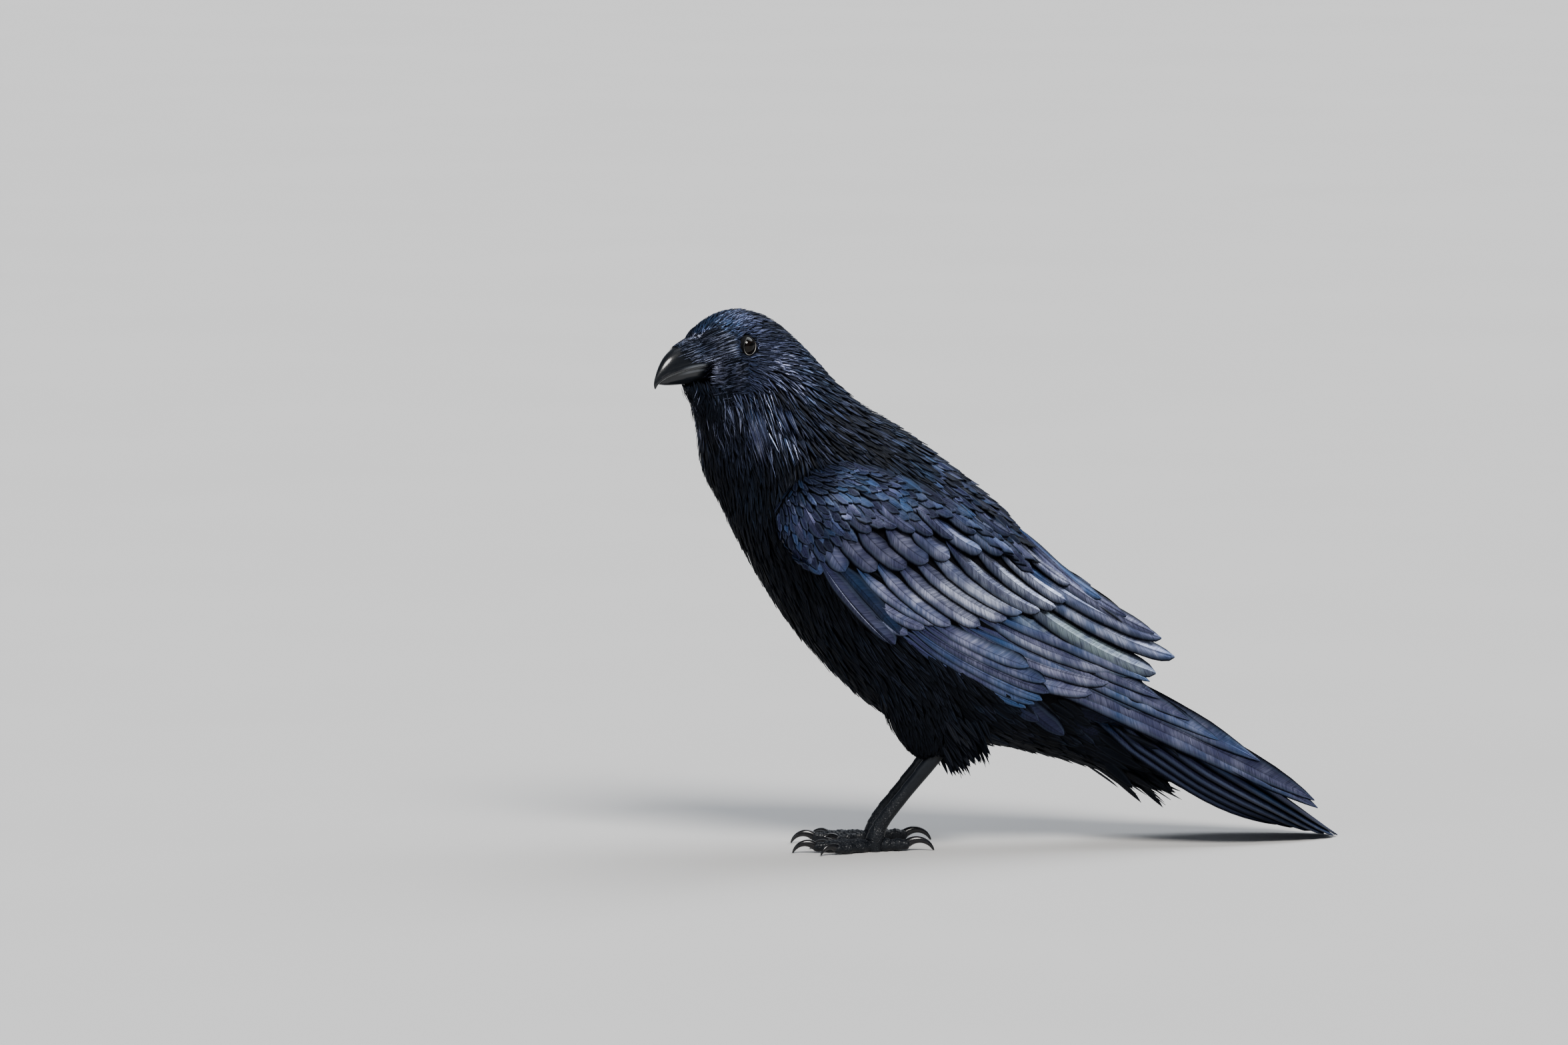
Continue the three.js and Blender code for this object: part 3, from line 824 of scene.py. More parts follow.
def shaped(name, around, along, place, material, edge=None):
    """A grid whose corners a function of (t, turn) places, t and turn each 0 to 1."""
    bpy.ops.object.select_all(action="DESELECT")
    bpy.ops.mesh.primitive_grid_add(x_subdivisions=around, y_subdivisions=along, size=2)
    piece = bpy.context.object
    piece.name = name
    flat = corners(piece)
    turn, t = (flat[:, 0] + 1) / 2, (flat[:, 1] + 1) / 2
    piece.data.vertices.foreach_set("co", place(t, turn).ravel())
    if edge:
        layer = piece.data.attributes.new("edge", "FLOAT", "POINT")
        layer.data.foreach_set("value", edge(t, turn).astype(np.float32))
    bpy.ops.object.mode_set(mode="EDIT")
    bpy.ops.mesh.select_all(action="SELECT")
    bpy.ops.mesh.remove_doubles(threshold=2e-6)
    bpy.ops.mesh.normals_make_consistent(inside=False)
    bpy.ops.object.mode_set(mode="OBJECT")
    bpy.ops.object.shade_smooth()
    piece.data.uv_layers.remove(piece.data.uv_layers[0])
    piece.data.materials.append(material)
    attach(piece, "root")
    return piece


def axis_gap(tree, place):
    """How far a point is from the axis through both eyes, in millimetres."""
    offset = node(tree, "ShaderNodeVectorMath", {"operation": "SUBTRACT"}, place, tuple(head(0, 0)))
    ahead = node(tree, "ShaderNodeVectorMath", {"operation": "DOT_PRODUCT"}, offset,
                 tuple(HEAD_FORWARD / MM))
    level = node(tree, "ShaderNodeVectorMath", {"operation": "DOT_PRODUCT"}, offset, tuple(UP / MM))
    return (ahead * ahead + level * level) ** 0.5, level


wet, tree, shader, place = blank("wet_eye")
gap, level = axis_gap(tree, place)
fibres = noise(tree, place, 1400.0, 2.0)
iris = blend(tree, fibres, (0.003, 0.002, 0.0015), (0.012, 0.007, 0.005))
tone = blend(tree, gap.step(PUPIL - 0.3, PUPIL + 0.3), (0.001, 0.001, 0.001), iris)
tone = blend(tree, gap.step(IRIS - 0.4, IRIS + 0.4), tone, (0.002, 0.002, 0.002))
feed(tree, shader, Base_Color=tone, Roughness=0.03, Specular_IOR_Level=0.35)

rim_skin, tree, shader, place = blank("lid_skin")
gap, level = axis_gap(tree, place)
grain = noise(tree, place, 1800.0, 3.0)
ring = (1 - abs(gap - LID_RING).step(0.12, 0.36)) * (1 - level.step(-1.0, 3.5) * 0.85)
tone = blend(tree, grain, (0.002, 0.002, 0.003), (0.008, 0.008, 0.010))
tone = blend(tree, ring * (0.6 + grain * 0.4), tone, (0.48, 0.465, 0.44))
feed(tree, shader, Base_Color=tone, Roughness=0.6, Specular_IOR_Level=0.12,
     Normal=bumped(tree, grain, 0.6, 0.0004))


def lid_place(sign):
    """The lids of one side: a section carried round the eye's axis."""
    def place(t, turn):
        gap, out = through(LID_SECTION + LID_SECTION[:1], t).T
        angle = turn * 2 * math.pi
        ahead = gap * np.cos(angle) * LID_LONG
        level = gap * np.sin(angle) * LID_HIGH
        level = level - BROW * np.clip(np.sin(angle), 0, 1) * (gap < 7.5)
        return head(0, 0) + MM * (
            HEAD_FORWARD * ahead[:, None] + UP * level[:, None]
            + sign * HEAD_LEFT * out[:, None]
        )

    return place


for sign, side in ((1, "left"), (-1, "right")):
    bpy.ops.object.select_all(action="DESELECT")
    bpy.ops.mesh.primitive_uv_sphere_add(segments=48, ring_count=32, radius=EYE_RADIUS * MM)
    ball = bpy.context.object
    ball.name = "eyeball_" + side
    ball.data.transform(Matrix.Translation(Vector(head(0, 0, sign * EYE_OUT))))
    ball.data.materials.append(wet)
    bpy.ops.object.shade_smooth()
    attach(ball, "root")
    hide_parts("eye_" + side)
    shaped("lid_" + side, LID_TURNS, LID_ROUND, lid_place(sign), rim_skin)

# The bill is horn over bone: a deep upper half with a curved ridge and a hooked tip, and a lower half
# that closes into it. Both grow out of the face under the bristles and are polished. A pale line along
# their cutting edges and a paler band a little way from them are painted highlights.
UPPER_BILL = (  # ridge and edge, each forward and up, and half the width
    ((12, 5), (10, -11.6), 11.5),
    ((24, 8), (22, -11.8), 12.3),
    ((36, 6.4), (33, -12), 11.2),
    ((50, 1.4), (48, -13.6), 8.8),
    ((60, -4.2), (57, -15.7), 6.4),
    ((66.8, -12), (63.5, -18.2), 3.9),
    ((71.4, -21.4), (68.6, -22.6), 1.2),
    ((71, -25.3), (70.2, -25.5), 0.5),
)
LOWER_BILL = (
    ((12, -21.8), (11, -12.6), 10.6),
    ((30, -23.6), (30, -12.9), 9.8),
    ((48, -24.2), (48, -14.6), 7.6),
    ((60, -23.8), (59, -17.4), 4.6),
    ((66.6, -22.8), (65.4, -20.6), 1.5),
)
BILL_ROUND, BILL_ALONG = 128, 90
BILL_CAP = 0.004  # the share of its length in which an end closes
BILL_EDGE = 0.04  # how far into its depth a half is widest
PALATE = 0.10  # how deep its closed side bulges
LIP = 0.55  # the cutting edge stands out by this much in a band
LIP_RISE = 1.5
LIP_WIDTH = 1.1
SIDES = ((0.3, 0.75), (0.8, 1.2))  # the sides go from full to hollow between these
TUCK = 0.7  # the lower half is this much narrower, and closes this much inside the upper


def bill_section(rows, t, turn, tuck):
    """The spot forward and up, how far out, and how far from the cutting edge."""
    angle = turn * 2 * math.pi
    reach = np.clip(np.minimum(t, 1 - t) / BILL_CAP, 0, 1)
    t = np.clip((t - BILL_CAP) / (1 - 2 * BILL_CAP), 0, 1)
    ridge = through([row[0] for row in rows], t)
    edge = through([row[1] for row in rows], t) + np.array((0, tuck * 0.8 - 0.25))
    half = through([row[2] for row in rows], t) - tuck * np.clip((1 - t) * 5, 0, 1)
    rise = np.where(np.cos(angle) > 0, np.cos(angle), np.cos(angle) * PALATE)
    depth = BILL_EDGE + reach * rise * (1 - BILL_EDGE)
    height = np.linalg.norm(ridge - edge, axis=1) * np.clip(depth, 0, 1)
    lip = 0 if tuck else LIP * np.exp(-(((height - LIP_RISE) / LIP_WIDTH) ** 2))
    lip = lip * np.clip((1 - t) * 4, 0, 1)
    sine = np.sin(angle)
    side = np.abs(sine)
    out = half * side ** np.interp(t, *SIDES) + lip * (side > 0.02)
    out = reach * np.sign(sine) * out
    return edge + (ridge - edge) * depth[:, None], out, height


def bill_place(rows, tuck):
    def place(t, turn):
        spot, out, height = bill_section(rows, t, turn, tuck)
        return head(0, 0) + MM * (
            HEAD_FORWARD * spot[:, :1] + UP * spot[:, 1:] + HEAD_LEFT * out[:, None]
        )

    return place


horn, tree, shader, place = blank("horn")
offset = node(tree, "ShaderNodeVectorMath", {"operation": "SUBTRACT"}, place, tuple(head(0, 0)))
ahead, level, out = (
    node(tree, "ShaderNodeVectorMath", {"operation": "DOT_PRODUCT"}, offset, tuple(way / MM))
    for way in (HEAD_FORWARD, UP, HEAD_LEFT)
)
comb = node(tree, "ShaderNodeCombineXYZ", {}, ahead * 0.10, level * 1.3, out * 1.3)
growth = noise(tree, comb, 1.0, 3.0, 0.6)
fine = noise(tree, place, 700.0, 3.0, 0.6)
edge = attribute(tree, "edge", "Fac")
# Painted highlight: a pale line along each cutting edge.
edge_highlight = (1 - edge.step(0.15, 0.55)) * (0.4 + growth)
# Painted highlight: a paler band a little way from the cutting edge, on the bill's rear half.
band = edge.step(0.4, 1.2) * (1 - edge.step(1.8, 3.0)) * (1 - ahead.step(42.0, 56.0))
tone = blend(tree, growth, (0.003, 0.004, 0.006), (0.010, 0.012, 0.016))
tone = blend(tree, band * 0.85, tone, (0.11, 0.12, 0.135))
tone = blend(tree, edge_highlight * 0.9, tone, (0.42, 0.43, 0.44))
scratch = growth * 0.7 + fine * 0.3
feed(tree, shader, Base_Color=tone, Roughness=0.22 + scratch * 0.18, Specular_IOR_Level=0.3,
     Coat_Weight=0.8, Coat_Roughness=0.14, Normal=bumped(tree, scratch, 0.25, 0.0005))
for name, rows, replaced, tuck in (
    ("upper_bill", UPPER_BILL, "bill_upper", 0.0),
    ("lower_bill", LOWER_BILL, "bill_lower", TUCK),
):
    half_bill = shaped(name, BILL_ROUND, BILL_ALONG, bill_place(rows, tuck), horn,
                       lambda t, turn: bill_section(rows, t, turn, tuck)[2])
    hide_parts(replaced)


# Stiff bristle feathers, little more than bare shafts, grow forward from the forehead over
# the nostrils, and shorter ones from the corner of the gape and the chin along the lower
# half. All are rooted in the skin of the face and lie close to the bill.
BRISTLE_STATIONS = np.linspace(0, 1, 6)
BRISTLE_SWAY = 0.045
NOSE_BRISTLES = 3000
NOSE_ANGLES = (0, 10, 20, 30, 45, 60, 88, 100)  # from straight up
NOSE_STARTS = (41, 38, 29, 20, 12, 8, 8, 7)  # and how far forward the hindmost start there
NOSE_ENDS = ((0, 20, 45, 70, 100), (49, 50.5, 54, 57, 46))
BROW_BRISTLES = 700
GAPE_BRISTLES = 1000
CORNER_BRISTLES = 900
BEARD = 240


def joined_tree(*things):
    """A search tree over several mesh objects."""
    spots, faces = [], []
    for thing in things:
        start = len(spots)
        spots += [tuple(spot) for spot in corners(thing)]
        faces += [tuple(start + k for k in face.vertices) for face in thing.data.polygons]
    return BVHTree.FromPolygons(spots, faces)


face_skin = copied("face_mould", ["head"])
face_tree = joined_tree(face_skin, bpy.data.objects["upper_bill"], bpy.data.objects["lower_bill"])
bpy.data.objects.remove(face_skin)


def bristles(name, starts, angles, level, way, lengths, width, pale, rise, over=face_tree):
    """Stiff hair-like feathers from both sides of the bill. Each starts this far forward,
    at an angle in degrees from straight up round a line at a level. Pale is the share of
    them that shine, and over is what they lie on."""
    points, ways, kept = [], [], []
    for i, (start, angle) in enumerate(zip(starts, np.radians(angles))):
        angle = angle * (1 if i % 2 else -1)
        middle = head(start, level)
        away = head_way(0, math.cos(angle), math.sin(angle))
        hit = over.ray_cast(Vector(middle + away * 60 * MM), Vector(-away))[0]
        jitter = rng.normal(0, BRISTLE_SWAY, 2)
        if hit is not None:
            points.append(np.array(hit))
            ways.append(head_way(way[0], way[1] + jitter[0], jitter[1] + way[2] * np.sign(angle)))
            kept.append(i)
    points, ways, lengths = np.array(points), np.array(ways), np.asarray(lengths)[kept] * MM
    count = len(points)
    line, up = laid(points, ways, lengths, BRISTLE_STATIONS, over,
                    np.full(count, -0.3 * MM), rng.uniform(*rise, count) * MM)
    side, up = sideways(line, up)
    half = width / 2 * MM * rng.uniform(0.6, 1.2, (count, 1)) * profile(BRISTLE_STATIONS, 0.2, 0.9)
    light = rng.random(count) < pale
    facts = facts_of(points, gloss=np.where(light, 0.85, 0.15), blue=0.3,
                     silver=np.where(light, 0.75, 0.0))
    return vanes(name, line, side, up, half, half * 0.5, half * 0, facts)


angle = rng.uniform(0, 100, NOSE_BRISTLES)
start = np.interp(angle, NOSE_ANGLES, NOSE_STARTS)
start = start + rng.random(NOSE_BRISTLES) ** 2.0 * (43 - start) * 0.85
front = np.interp(angle, *NOSE_ENDS) - rng.random(NOSE_BRISTLES) * 4
length = np.clip(rng.uniform(11, 20, NOSE_BRISTLES), 2, front - start)
angle = np.concatenate((angle, rng.uniform(0, 24, BROW_BRISTLES)))
start = np.concatenate((start, rng.uniform(30, 43, BROW_BRISTLES)))
length = np.concatenate((length, rng.uniform(5, 9, BROW_BRISTLES)))
bristles("nose_bristles", start, angle, -4, (1, -0.16, -0.08), length, 0.52, 0.36, (0.3, 1.1))
start = rng.uniform(1, 24, GAPE_BRISTLES)
bristles("gape_bristles", start, rng.uniform(98, 136, GAPE_BRISTLES), -7, (1, -0.1, -0.1),
         rng.uniform(6, 11, GAPE_BRISTLES), 0.6, 0.5, (0.5, 1.4))
corner_tree = joined_tree(skin, bpy.data.objects["upper_bill"], bpy.data.objects["lower_bill"])
bristles("corner_bristles", rng.uniform(9, 25, CORNER_BRISTLES),
         rng.uniform(88, 150, CORNER_BRISTLES), -7, (1, -0.25, -0.05),
         rng.uniform(6, 10, CORNER_BRISTLES), 0.7, 0.25, (0.4, 2.2), corner_tree)
bristles("beard", rng.uniform(16, 37, BEARD), rng.uniform(150, 180, BEARD), -12,
         (0.25, -0.9, 0.1), rng.uniform(8, 13, BEARD), 0.8, 0.06, (1.5, 4.0))

# Pointed hackles, long narrow feathers with open barbs, hang from the cheeks and the throat
# over the softer neck feathers. Their ends catch the light, and a few cling together in
# long points.
HACKLES = (
    body_row(36, -97, 312, (0.05, 0.30, -0.95), 17, 1.3, 0.85, 1.0, 0.45)
    + body_row(39, -80, 286, (0.03, 0.32, -0.95), 24, 1.7, 0.85, 1.0, 0.4)
    + body_row(30, -112, 300, (0.05, 0.2, -1), 19, 1.3, 0.4, 0.8, 0.2)
    + body_row(22, -122, 285, (0.0, 0.1, -1), 20, 1.4, 0.1, 0.5, 0.0)
)
HACKLE_TRIES = 12000
HACKLE_OUT = 16
HACKLE_HIGH = (284, 324)
HACKLE_FRONT = -124
HACKLE_REAR = (-70, 290, 0.35)  # how far back at a height, and how it slopes
x, back, high = centre_mm.T
rear, rear_high, rear_slope = HACKLE_REAR
hackle_area = (
    body_area & (np.abs(x) > HACKLE_OUT) & (high > HACKLE_HIGH[0]) & (high < HACKLE_HIGH[1])
    & (back > HACKLE_FRONT) & (back < rear - rear_slope * (high - rear_high))
)
roots, values = scattered(hackle_area, HACKLES, HACKLE_TRIES,
                          lambda rows: 0.62 * np.sqrt(rows[:, 3] * rows[:, 4]))
coat("hackles", roots, values, blunt=0.2, power=1.0, sink=-1.6, lift=1.6, bend=0.3, wild=0.1,
     fleck=0.2, vary=1.4)
POINTS = (  # root, tip and width
    ((35.5, -97.7, 307.4), (38.6, -79.2, 265.1), 8),
    ((34, -92, 308), (38.6, -80, 274), 6),
    ((34, -78.4, 308.7), (39.7, -67.8, 283.8), 6),
    ((37.7, -71, 306.5), (40, -62.8, 285.6), 5),
)
STRANDS = 14  # in each point
STRAND_STATIONS = np.linspace(0, 1, 10)
starts, ends = [], []
for side in (1, -1):
    for (x, y, z), (end_x, end_y, end_z), width in POINTS:
        for strand in range(STRANDS):
            lean = rng.uniform(-0.5, 0.5) * width
            short = rng.uniform(0, 0.3) + 0.3 * abs(lean) / width
            root = np.array((side * x, y + lean, z - 6 * short))
            tip = np.array((side * end_x, end_y + lean * 0.25, end_z))
            starts.append(root)
            ends.append(tip + (root - tip) * short * 0.5)
starts, ends = at(np.array(starts)), at(np.array(ends))
count = len(starts)
line, up = laid(starts, unit(ends - starts), np.linalg.norm(ends - starts, axis=1), STRAND_STATIONS,
                guide, rng.uniform(-0.8, 0.2, count) * MM, rng.uniform(1.8, 3.0, count) * MM)
side, up = sideways(line, up)
half = rng.uniform(0.6, 1.1, (count, 1)) * MM * profile(STRAND_STATIONS, 0.15, 1.0)
vanes("hackle_points", line, side, up, half, np.full_like(half, 0.2 * MM), np.full_like(half, 0.35),
      facts_of(starts, gloss=rng.uniform(0.4, 1.0, count), blue=1.0, silver=rng.uniform(0, 0.8, count)))

# The folded wings. Long stiff flight feathers lie under one another like shut fan ribs, and
# rows of shorter coverts roof their roots. A left wing is laid out on its outer face, by
# how far back and how high each feather starts and ends, and the right one mirrors it.
FIELD_STEP = 2.5
FIELD_BACK = np.arange(-110, 341, FIELD_STEP)
FIELD_HIGH = np.arange(-10, 296, FIELD_STEP)
BLADE = np.array((  # across in half widths, rise in thicknesses, place for the pattern
    (-1, 0, -1), (-0.6, 0.8, -0.6), (-0.25, 1, -0.25), (-0.045, 1.1, -0.045), (0, 1.8, 0),
    (0.045, 1.1, 0.045), (0.25, 1, 0.25), (0.6, 0.8, 0.6), (1, 0, 1), (0.4, -1, 0.4), (-0.4, -1, -0.4),
))
BLADE_STATIONS = 1 - (1 - np.linspace(0, 1, 17)) ** 1.25
FILL_ROUNDS = 500  # in which a mould's known heights spread past its edges
FILL_FADE = 0.995
EVEN_ROUNDS = 12


def height_field(tree, rows, columns, ray):
    """Heights of a mould over a grid, smoothed, and carried on past its edges."""
    field = np.full((len(rows), len(columns)), np.nan)
    for i, row in enumerate(rows):
        for j, column in enumerate(columns):
            start, way, axis = ray(row, column)
            hit = tree.ray_cast(Vector(at(start)), Vector(way))[0]
            if hit is not None:
                field[i, j] = (hit[axis] - ORIGIN[axis]) / MM
    known = ~np.isnan(field)
    a, b = np.meshgrid(rows / 100, columns / 100, indexing="ij")
    terms = np.stack((a**0, a, b, a * a, a * b, b * b), -1)
    trend = terms @ np.linalg.lstsq(terms[known], field[known], rcond=None)[0]
    rest = np.where(known, field - trend, 0)
    for i in range(FILL_ROUNDS):
        wide = np.pad(rest, 1, "edge")
        mean = (wide[2:, 1:-1] + wide[:-2, 1:-1] + wide[1:-1, 2:] + wide[1:-1, :-2]) / 4
        rest = np.where(known, rest, mean * FILL_FADE)
    for i in range(EVEN_ROUNDS):
        wide = np.pad(rest, 1, "edge")
        round_about = wide[2:, 1:-1] + wide[:-2, 1:-1] + wide[1:-1, 2:] + wide[1:-1, :-2]
        rest = (round_about + 2 * rest) / 6
    return rest + trend


def field_value(field, rows, columns, row, column):
    """The mould's height between the grid's points."""
    i = np.clip((row - rows[0]) / FIELD_STEP, 0, len(rows) - 1.001)
    j = np.clip((column - columns[0]) / FIELD_STEP, 0, len(columns) - 1.001)
    p, q = i.astype(int), j.astype(int)
    u, v = i - p, j - q
    return (
        field[p, q] * (1 - u) * (1 - v) + field[p + 1, q] * u * (1 - v)
        + field[p, q + 1] * (1 - u) * v + field[p + 1, q + 1] * u * v
    )


wing_form = copied("wing_mould", ["wing_left", "primaries_left"])
wing_field = height_field(tree_of(wing_form), FIELD_BACK, FIELD_HIGH,
                          lambda back, high: ((200, back, high), (-1, 0, 0), 0))
bpy.data.objects.remove(wing_form)


def on_wing_face(back, high):
    """Points of the left wing's face and which way it looks there, in millimetres."""
    def out(b, h):
        return field_value(wing_field, FIELD_BACK, FIELD_HIGH, b, h)

    spot = np.stack((out(back, high), back, high), -1)
    slope_back = (out(back + 4, high) - out(back - 4, high)) / 8
    slope_high = (out(back, high + 4) - out(back, high - 4)) / 8
    return spot, unit(np.stack((np.ones_like(back), -slope_back, -slope_high), -1))


def fan(roots, tips, count, width, sink, lift, roll=0.10, sag=0.05, blunt=0.8, power=0.5,
        look=(0.6, 0.6, 0.0), green=0.0):
    """A row of wing feathers, from the outermost to the innermost. Each rises from sink to
    lift over the wing's face, sag bows it down, and roll lifts its lower edge over the
    next. A sequence in place of a number runs along the row. Look is the gloss, blue and
    silver."""
    u = np.linspace(0, 1, count)
    root, tip = through(roots, u), through(tips, u)
    tip = tip + rng.normal(0, 0.7, tip.shape)
    chord = tip - root
    share = BLADE_STATIONS
    bow = np.stack((-np.abs(chord[:, 1]), -chord[:, 0]), -1) * np.broadcast_to(sag, count)[:, None]
    path = root[:, None] + chord[:, None] * share[None, :, None]
    path = path + bow[:, None] * (4 * share * (1 - share))[None, :, None]
    spot, face = on_wing_face(path[..., 0], path[..., 1])
    sink, lift = (
        (through(value, u) if np.ndim(value) else np.full(count, float(value)))[:, None]
        for value in (sink, lift)
    )
    raised = sink + (lift - sink) * share**0.9 + rng.normal(0, 0.12, (count, 1))
    line = spot + face * raised[..., None]
    side, up = sideways(line, face)
    tilt = np.broadcast_to(roll, count)[:, None, None] + rng.normal(0, 0.02, (count, 1, 1))
    side, up = unit(side + up * tilt), unit(up - side * tilt)
    wide = through(width, u) if np.ndim(width) else np.full(count, float(width))
    half = wide[:, None] / 2 * profile(share, blunt, power)
    half = half * (1 + 0.02 * np.sin(share * 31 + rng.uniform(0, 6, (count, 1))))
    looks = [
        through(value, u) if np.ndim(value) else np.full(count, float(value))
        for value in (*look, green)
    ]
    return {"line": line, "side": side, "up": up, "half": half, "looks": np.stack(looks, -1)}


VANE_LEAN = (0.8, 1.2)  # a vane's leading side is the narrower one


def wing_piece(name, groups, thick, bend):
    """Joins rows of feathers in one mesh for each wing."""
    line, side, up, half, looks = (
        np.concatenate([group[key] for group in groups])
        for key in ("line", "side", "up", "half", "looks")
    )
    pieces = []
    for sign, wing in ((1, "left"), (-1, "right")):
        flip = np.array((sign, 1, 1))
        spot = at(line * flip)
        ring = BLADE if sign > 0 else BLADE[::-1] * (-1, 1, -1)
        lean = np.where(ring[:, 0] * sign > 0, *VANE_LEAN)
        facts = facts_of(spot[:, 0], gloss=looks[:, 0], blue=looks[:, 1], silver=looks[:, 2],
                         green=looks[:, 3])
        facts["chance"] = np.random.default_rng(len(line)).random(len(line))
        pieces.append(vanes(
            name + "_" + wing, spot, side * flip * sign, up * flip, half * MM,
            np.full_like(half, thick * MM), np.full_like(half, bend), facts,
            ring * np.stack((lean, np.ones(len(ring)), np.ones(len(ring))), -1),
        ))
    return pieces


primaries = fan(
    ((25, 146), (30, 150), (40, 157), (47, 162), (56, 170)),
    ((262, 47), (289, 33), (306, 21), (303, 26), (262, 56), (231, 70), (211, 87), (191, 102),
     (183, 113)),
    9, (10, 13, 18, 22, 20, 17, 16, 15, 15), -3.4, (-2.6, -2.5, -2.0, -1.3, -0.8),
    roll=0.16, sag=-0.015, blunt=0.62, power=0.7,
    look=((0.7, 0.85, 0.85), (1.0, 0.9, 0.8), (0.2, 0.3, 0.35)),
)
secondaries = fan(
    ((30, 150), (50, 168), (70, 184), (84, 198)),
    ((140, 108), (152, 115), (157, 124), (173, 121), (188, 120), (203, 129)),
    6, (15, 16, 18, 19), -3.4, -1.4, roll=0.17, sag=0.055, blunt=0.84,
    look=(0.9, 0.6, (0.5, 0.6, 0.6, 0.75, 0.8)), green=(0, 0, 0.2, 0.8, 0.1),
)
tertials = fan(
    ((84, 204), (92, 212), (96, 218), (98, 222)),
    ((194, 140), (189, 146), (168, 158), (150, 172)),
    4, (19, 18, 17, 15), (-2.2, -2.6, -4, -7), -0.4, roll=0.10, sag=0.04, blunt=0.8,
    look=(0.85, 0.95, (0.5, 0.35, 0.2)),
)
primary_coverts = fan(
    ((2, 152), (8, 156), (12, 160), (20, 164)),
    ((92, 100), (99, 103), (105, 107), (108, 114), (94, 128)),
    6, (10, 12, 12, 13), -2.2, 0.8, roll=0.18, sag=0.03, blunt=0.8,
    look=(0.85, (1.0, 0.9, 0.6), (0.1, 0.2, 0.45)),
)
great_coverts = fan(
    ((-40, 186), (-32, 198), (-12, 206), (8, 211), (30, 216), (58, 220), (84, 224)),
    ((8, 153), (19.6, 156), (28.7, 158), (37.5, 160), (58.7, 158), (76.7, 162), (89, 164.5),
     (103, 165), (114, 167), (122, 172), (127, 182)),
    11, (12, 13, 15, 16, 15), -2.4, -0.2, roll=0.17, sag=0.06, blunt=0.86,
    look=(0.98, (0.9, 0.5, 0.4, 0.4, 0.6), (0.4, 0.7, 0.95, 1.0, 0.95)),
    green=(0, 0, 0.15, 0.3, 0.1),
)
median_coverts = fan(
    ((-66, 232), (-52, 232), (-34, 230), (-8, 229), (16, 230), (42, 232), (64, 228)),
    ((-52, 196), (-34, 198), (-9, 197), (14, 201), (28, 205), (55, 207), (74, 206), (93, 201)),
    9, (17, 18, 18, 17, 16), -1.5, 0.4, roll=0.12, sag=0.06, blunt=0.78,
    look=(0.75, (1.0, 0.9, 0.7, 0.8), (0.15, 0.35, 0.5, 0.4)),
)
upper_coverts = fan(
    ((-74, 246), (-60, 250), (-40, 250), (-16, 250), (8, 249), (34, 247), (58, 240)),
    ((-62, 216), (-47, 222), (-22, 224), (2, 226), (21, 221), (42, 218), (66, 220), (84, 216)),
    11, (13, 13, 14, 14, 15), -1.0, 0.7, roll=0.11, sag=0.06, blunt=0.75,
    look=(0.62, 0.9, (0.1, 0.3)),
)
thumb = fan(
    ((-54, 206), (-46, 206)),
    ((1.5, 144.5), (4, 153)),
    2, (14.5, 12), (-0.4, -1.6), (1.3, 0.2), roll=0.03, sag=(0.04, -0.01), blunt=0.86,
    look=((0.7, 0.45), 1.0, (0.15, 0.05)),
)
quill = fan(
    ((-54, 206), (-54, 206)), ((-0.5, 145.5), (-0.5, 145.5)),
    1, 1.1, 0.2, 1.9, roll=0.03, sag=0.04, blunt=0.2, power=0.9,
    look=(1.0, 0.3, 1.0),
)
flank = fan(
    ((64, 118), (79, 116)), ((103, 88), (120, 79)),
    2, 14, -3.0, -0.6, roll=0.08, sag=0.05, blunt=0.7,
    look=(0.45, 1.0, 0.05),
)
flight = wing_piece("flight_feathers", (primaries, secondaries, tertials, flank), 0.32, 0.22)
for piece, wing in zip(flight, ("left", "right")):
    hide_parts("primaries_" + wing)
covert_rows = (primary_coverts, great_coverts, median_coverts, upper_coverts, thumb, quill)
coverts = wing_piece("wing_coverts", covert_rows, 0.26, 0.26)
for piece, wing in zip(coverts, ("left", "right")):
    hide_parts("wing_" + wing)

# The smallest coverts, short and round like scales, roof the shoulder and wrap round the
# wing's leading edge.
SHOULDER = (
    body_row(57, -79, 232, (0, 0.15, -1), 13, 5.6, 0.5, 1.0, 0.0)
    + body_row(47, -75, 250, (0, 0.4, -0.9), 11, 4.6, 0.42, 0.9, 0)
    + body_row(53, -50, 264, (0, 0.8, -0.6), 13, 5, 0.42, 0.9, 0)
    + body_row(50, -15, 264, (0, 0.86, -0.5), 16, 6.5, 0.5, 0.9, 0)
    + body_row(66, -50, 238, (0, 0.6, -0.8), 17, 8, 0.5, 0.95, 0.1)
    + body_row(66, -20, 242, (0, 0.8, -0.6), 19, 9, 0.5, 0.95, 0.1)
    + body_row(60, 20, 244, (0, 0.85, -0.52), 20, 9.5, 0.55, 0.95, 0.2)
    + body_row(60, -75, 211, (0, 0.3, -1), 17, 8, 0.5, 1.0, 0)
    + body_row(62, -60, 196, (0, 0.5, -0.85), 19, 9, 0.5, 1.0, 0)
)
EDGE_BACK = (-95, -72, -55, -30, 0, 30, 60)
EDGE_LOW = (206, 208, 222, 236, 240, 240, 246)  # the shoulder's scales start above this
SCAPULAR_BACK = (-60, -44, 10, 48, 78, 125, 170)
SCAPULAR_LOW = (290, 272, 259, 231, 214, 187, 165)  # and the shoulder blade's above this
SHOULDER_END = 50
SHOULDER_TRIES = 30000
x, back, high = centre_mm.T
above_edge = high > np.interp(back, EDGE_BACK, EDGE_LOW)
above_blade = high > np.interp(back, SCAPULAR_BACK, SCAPULAR_LOW)
shoulder_area = on_wing & above_edge & ~above_blade & (back < SHOULDER_END)
roots, values = scattered(shoulder_area, SHOULDER, SHOULDER_TRIES, lambda rows: 0.66 * rows[:, 4])
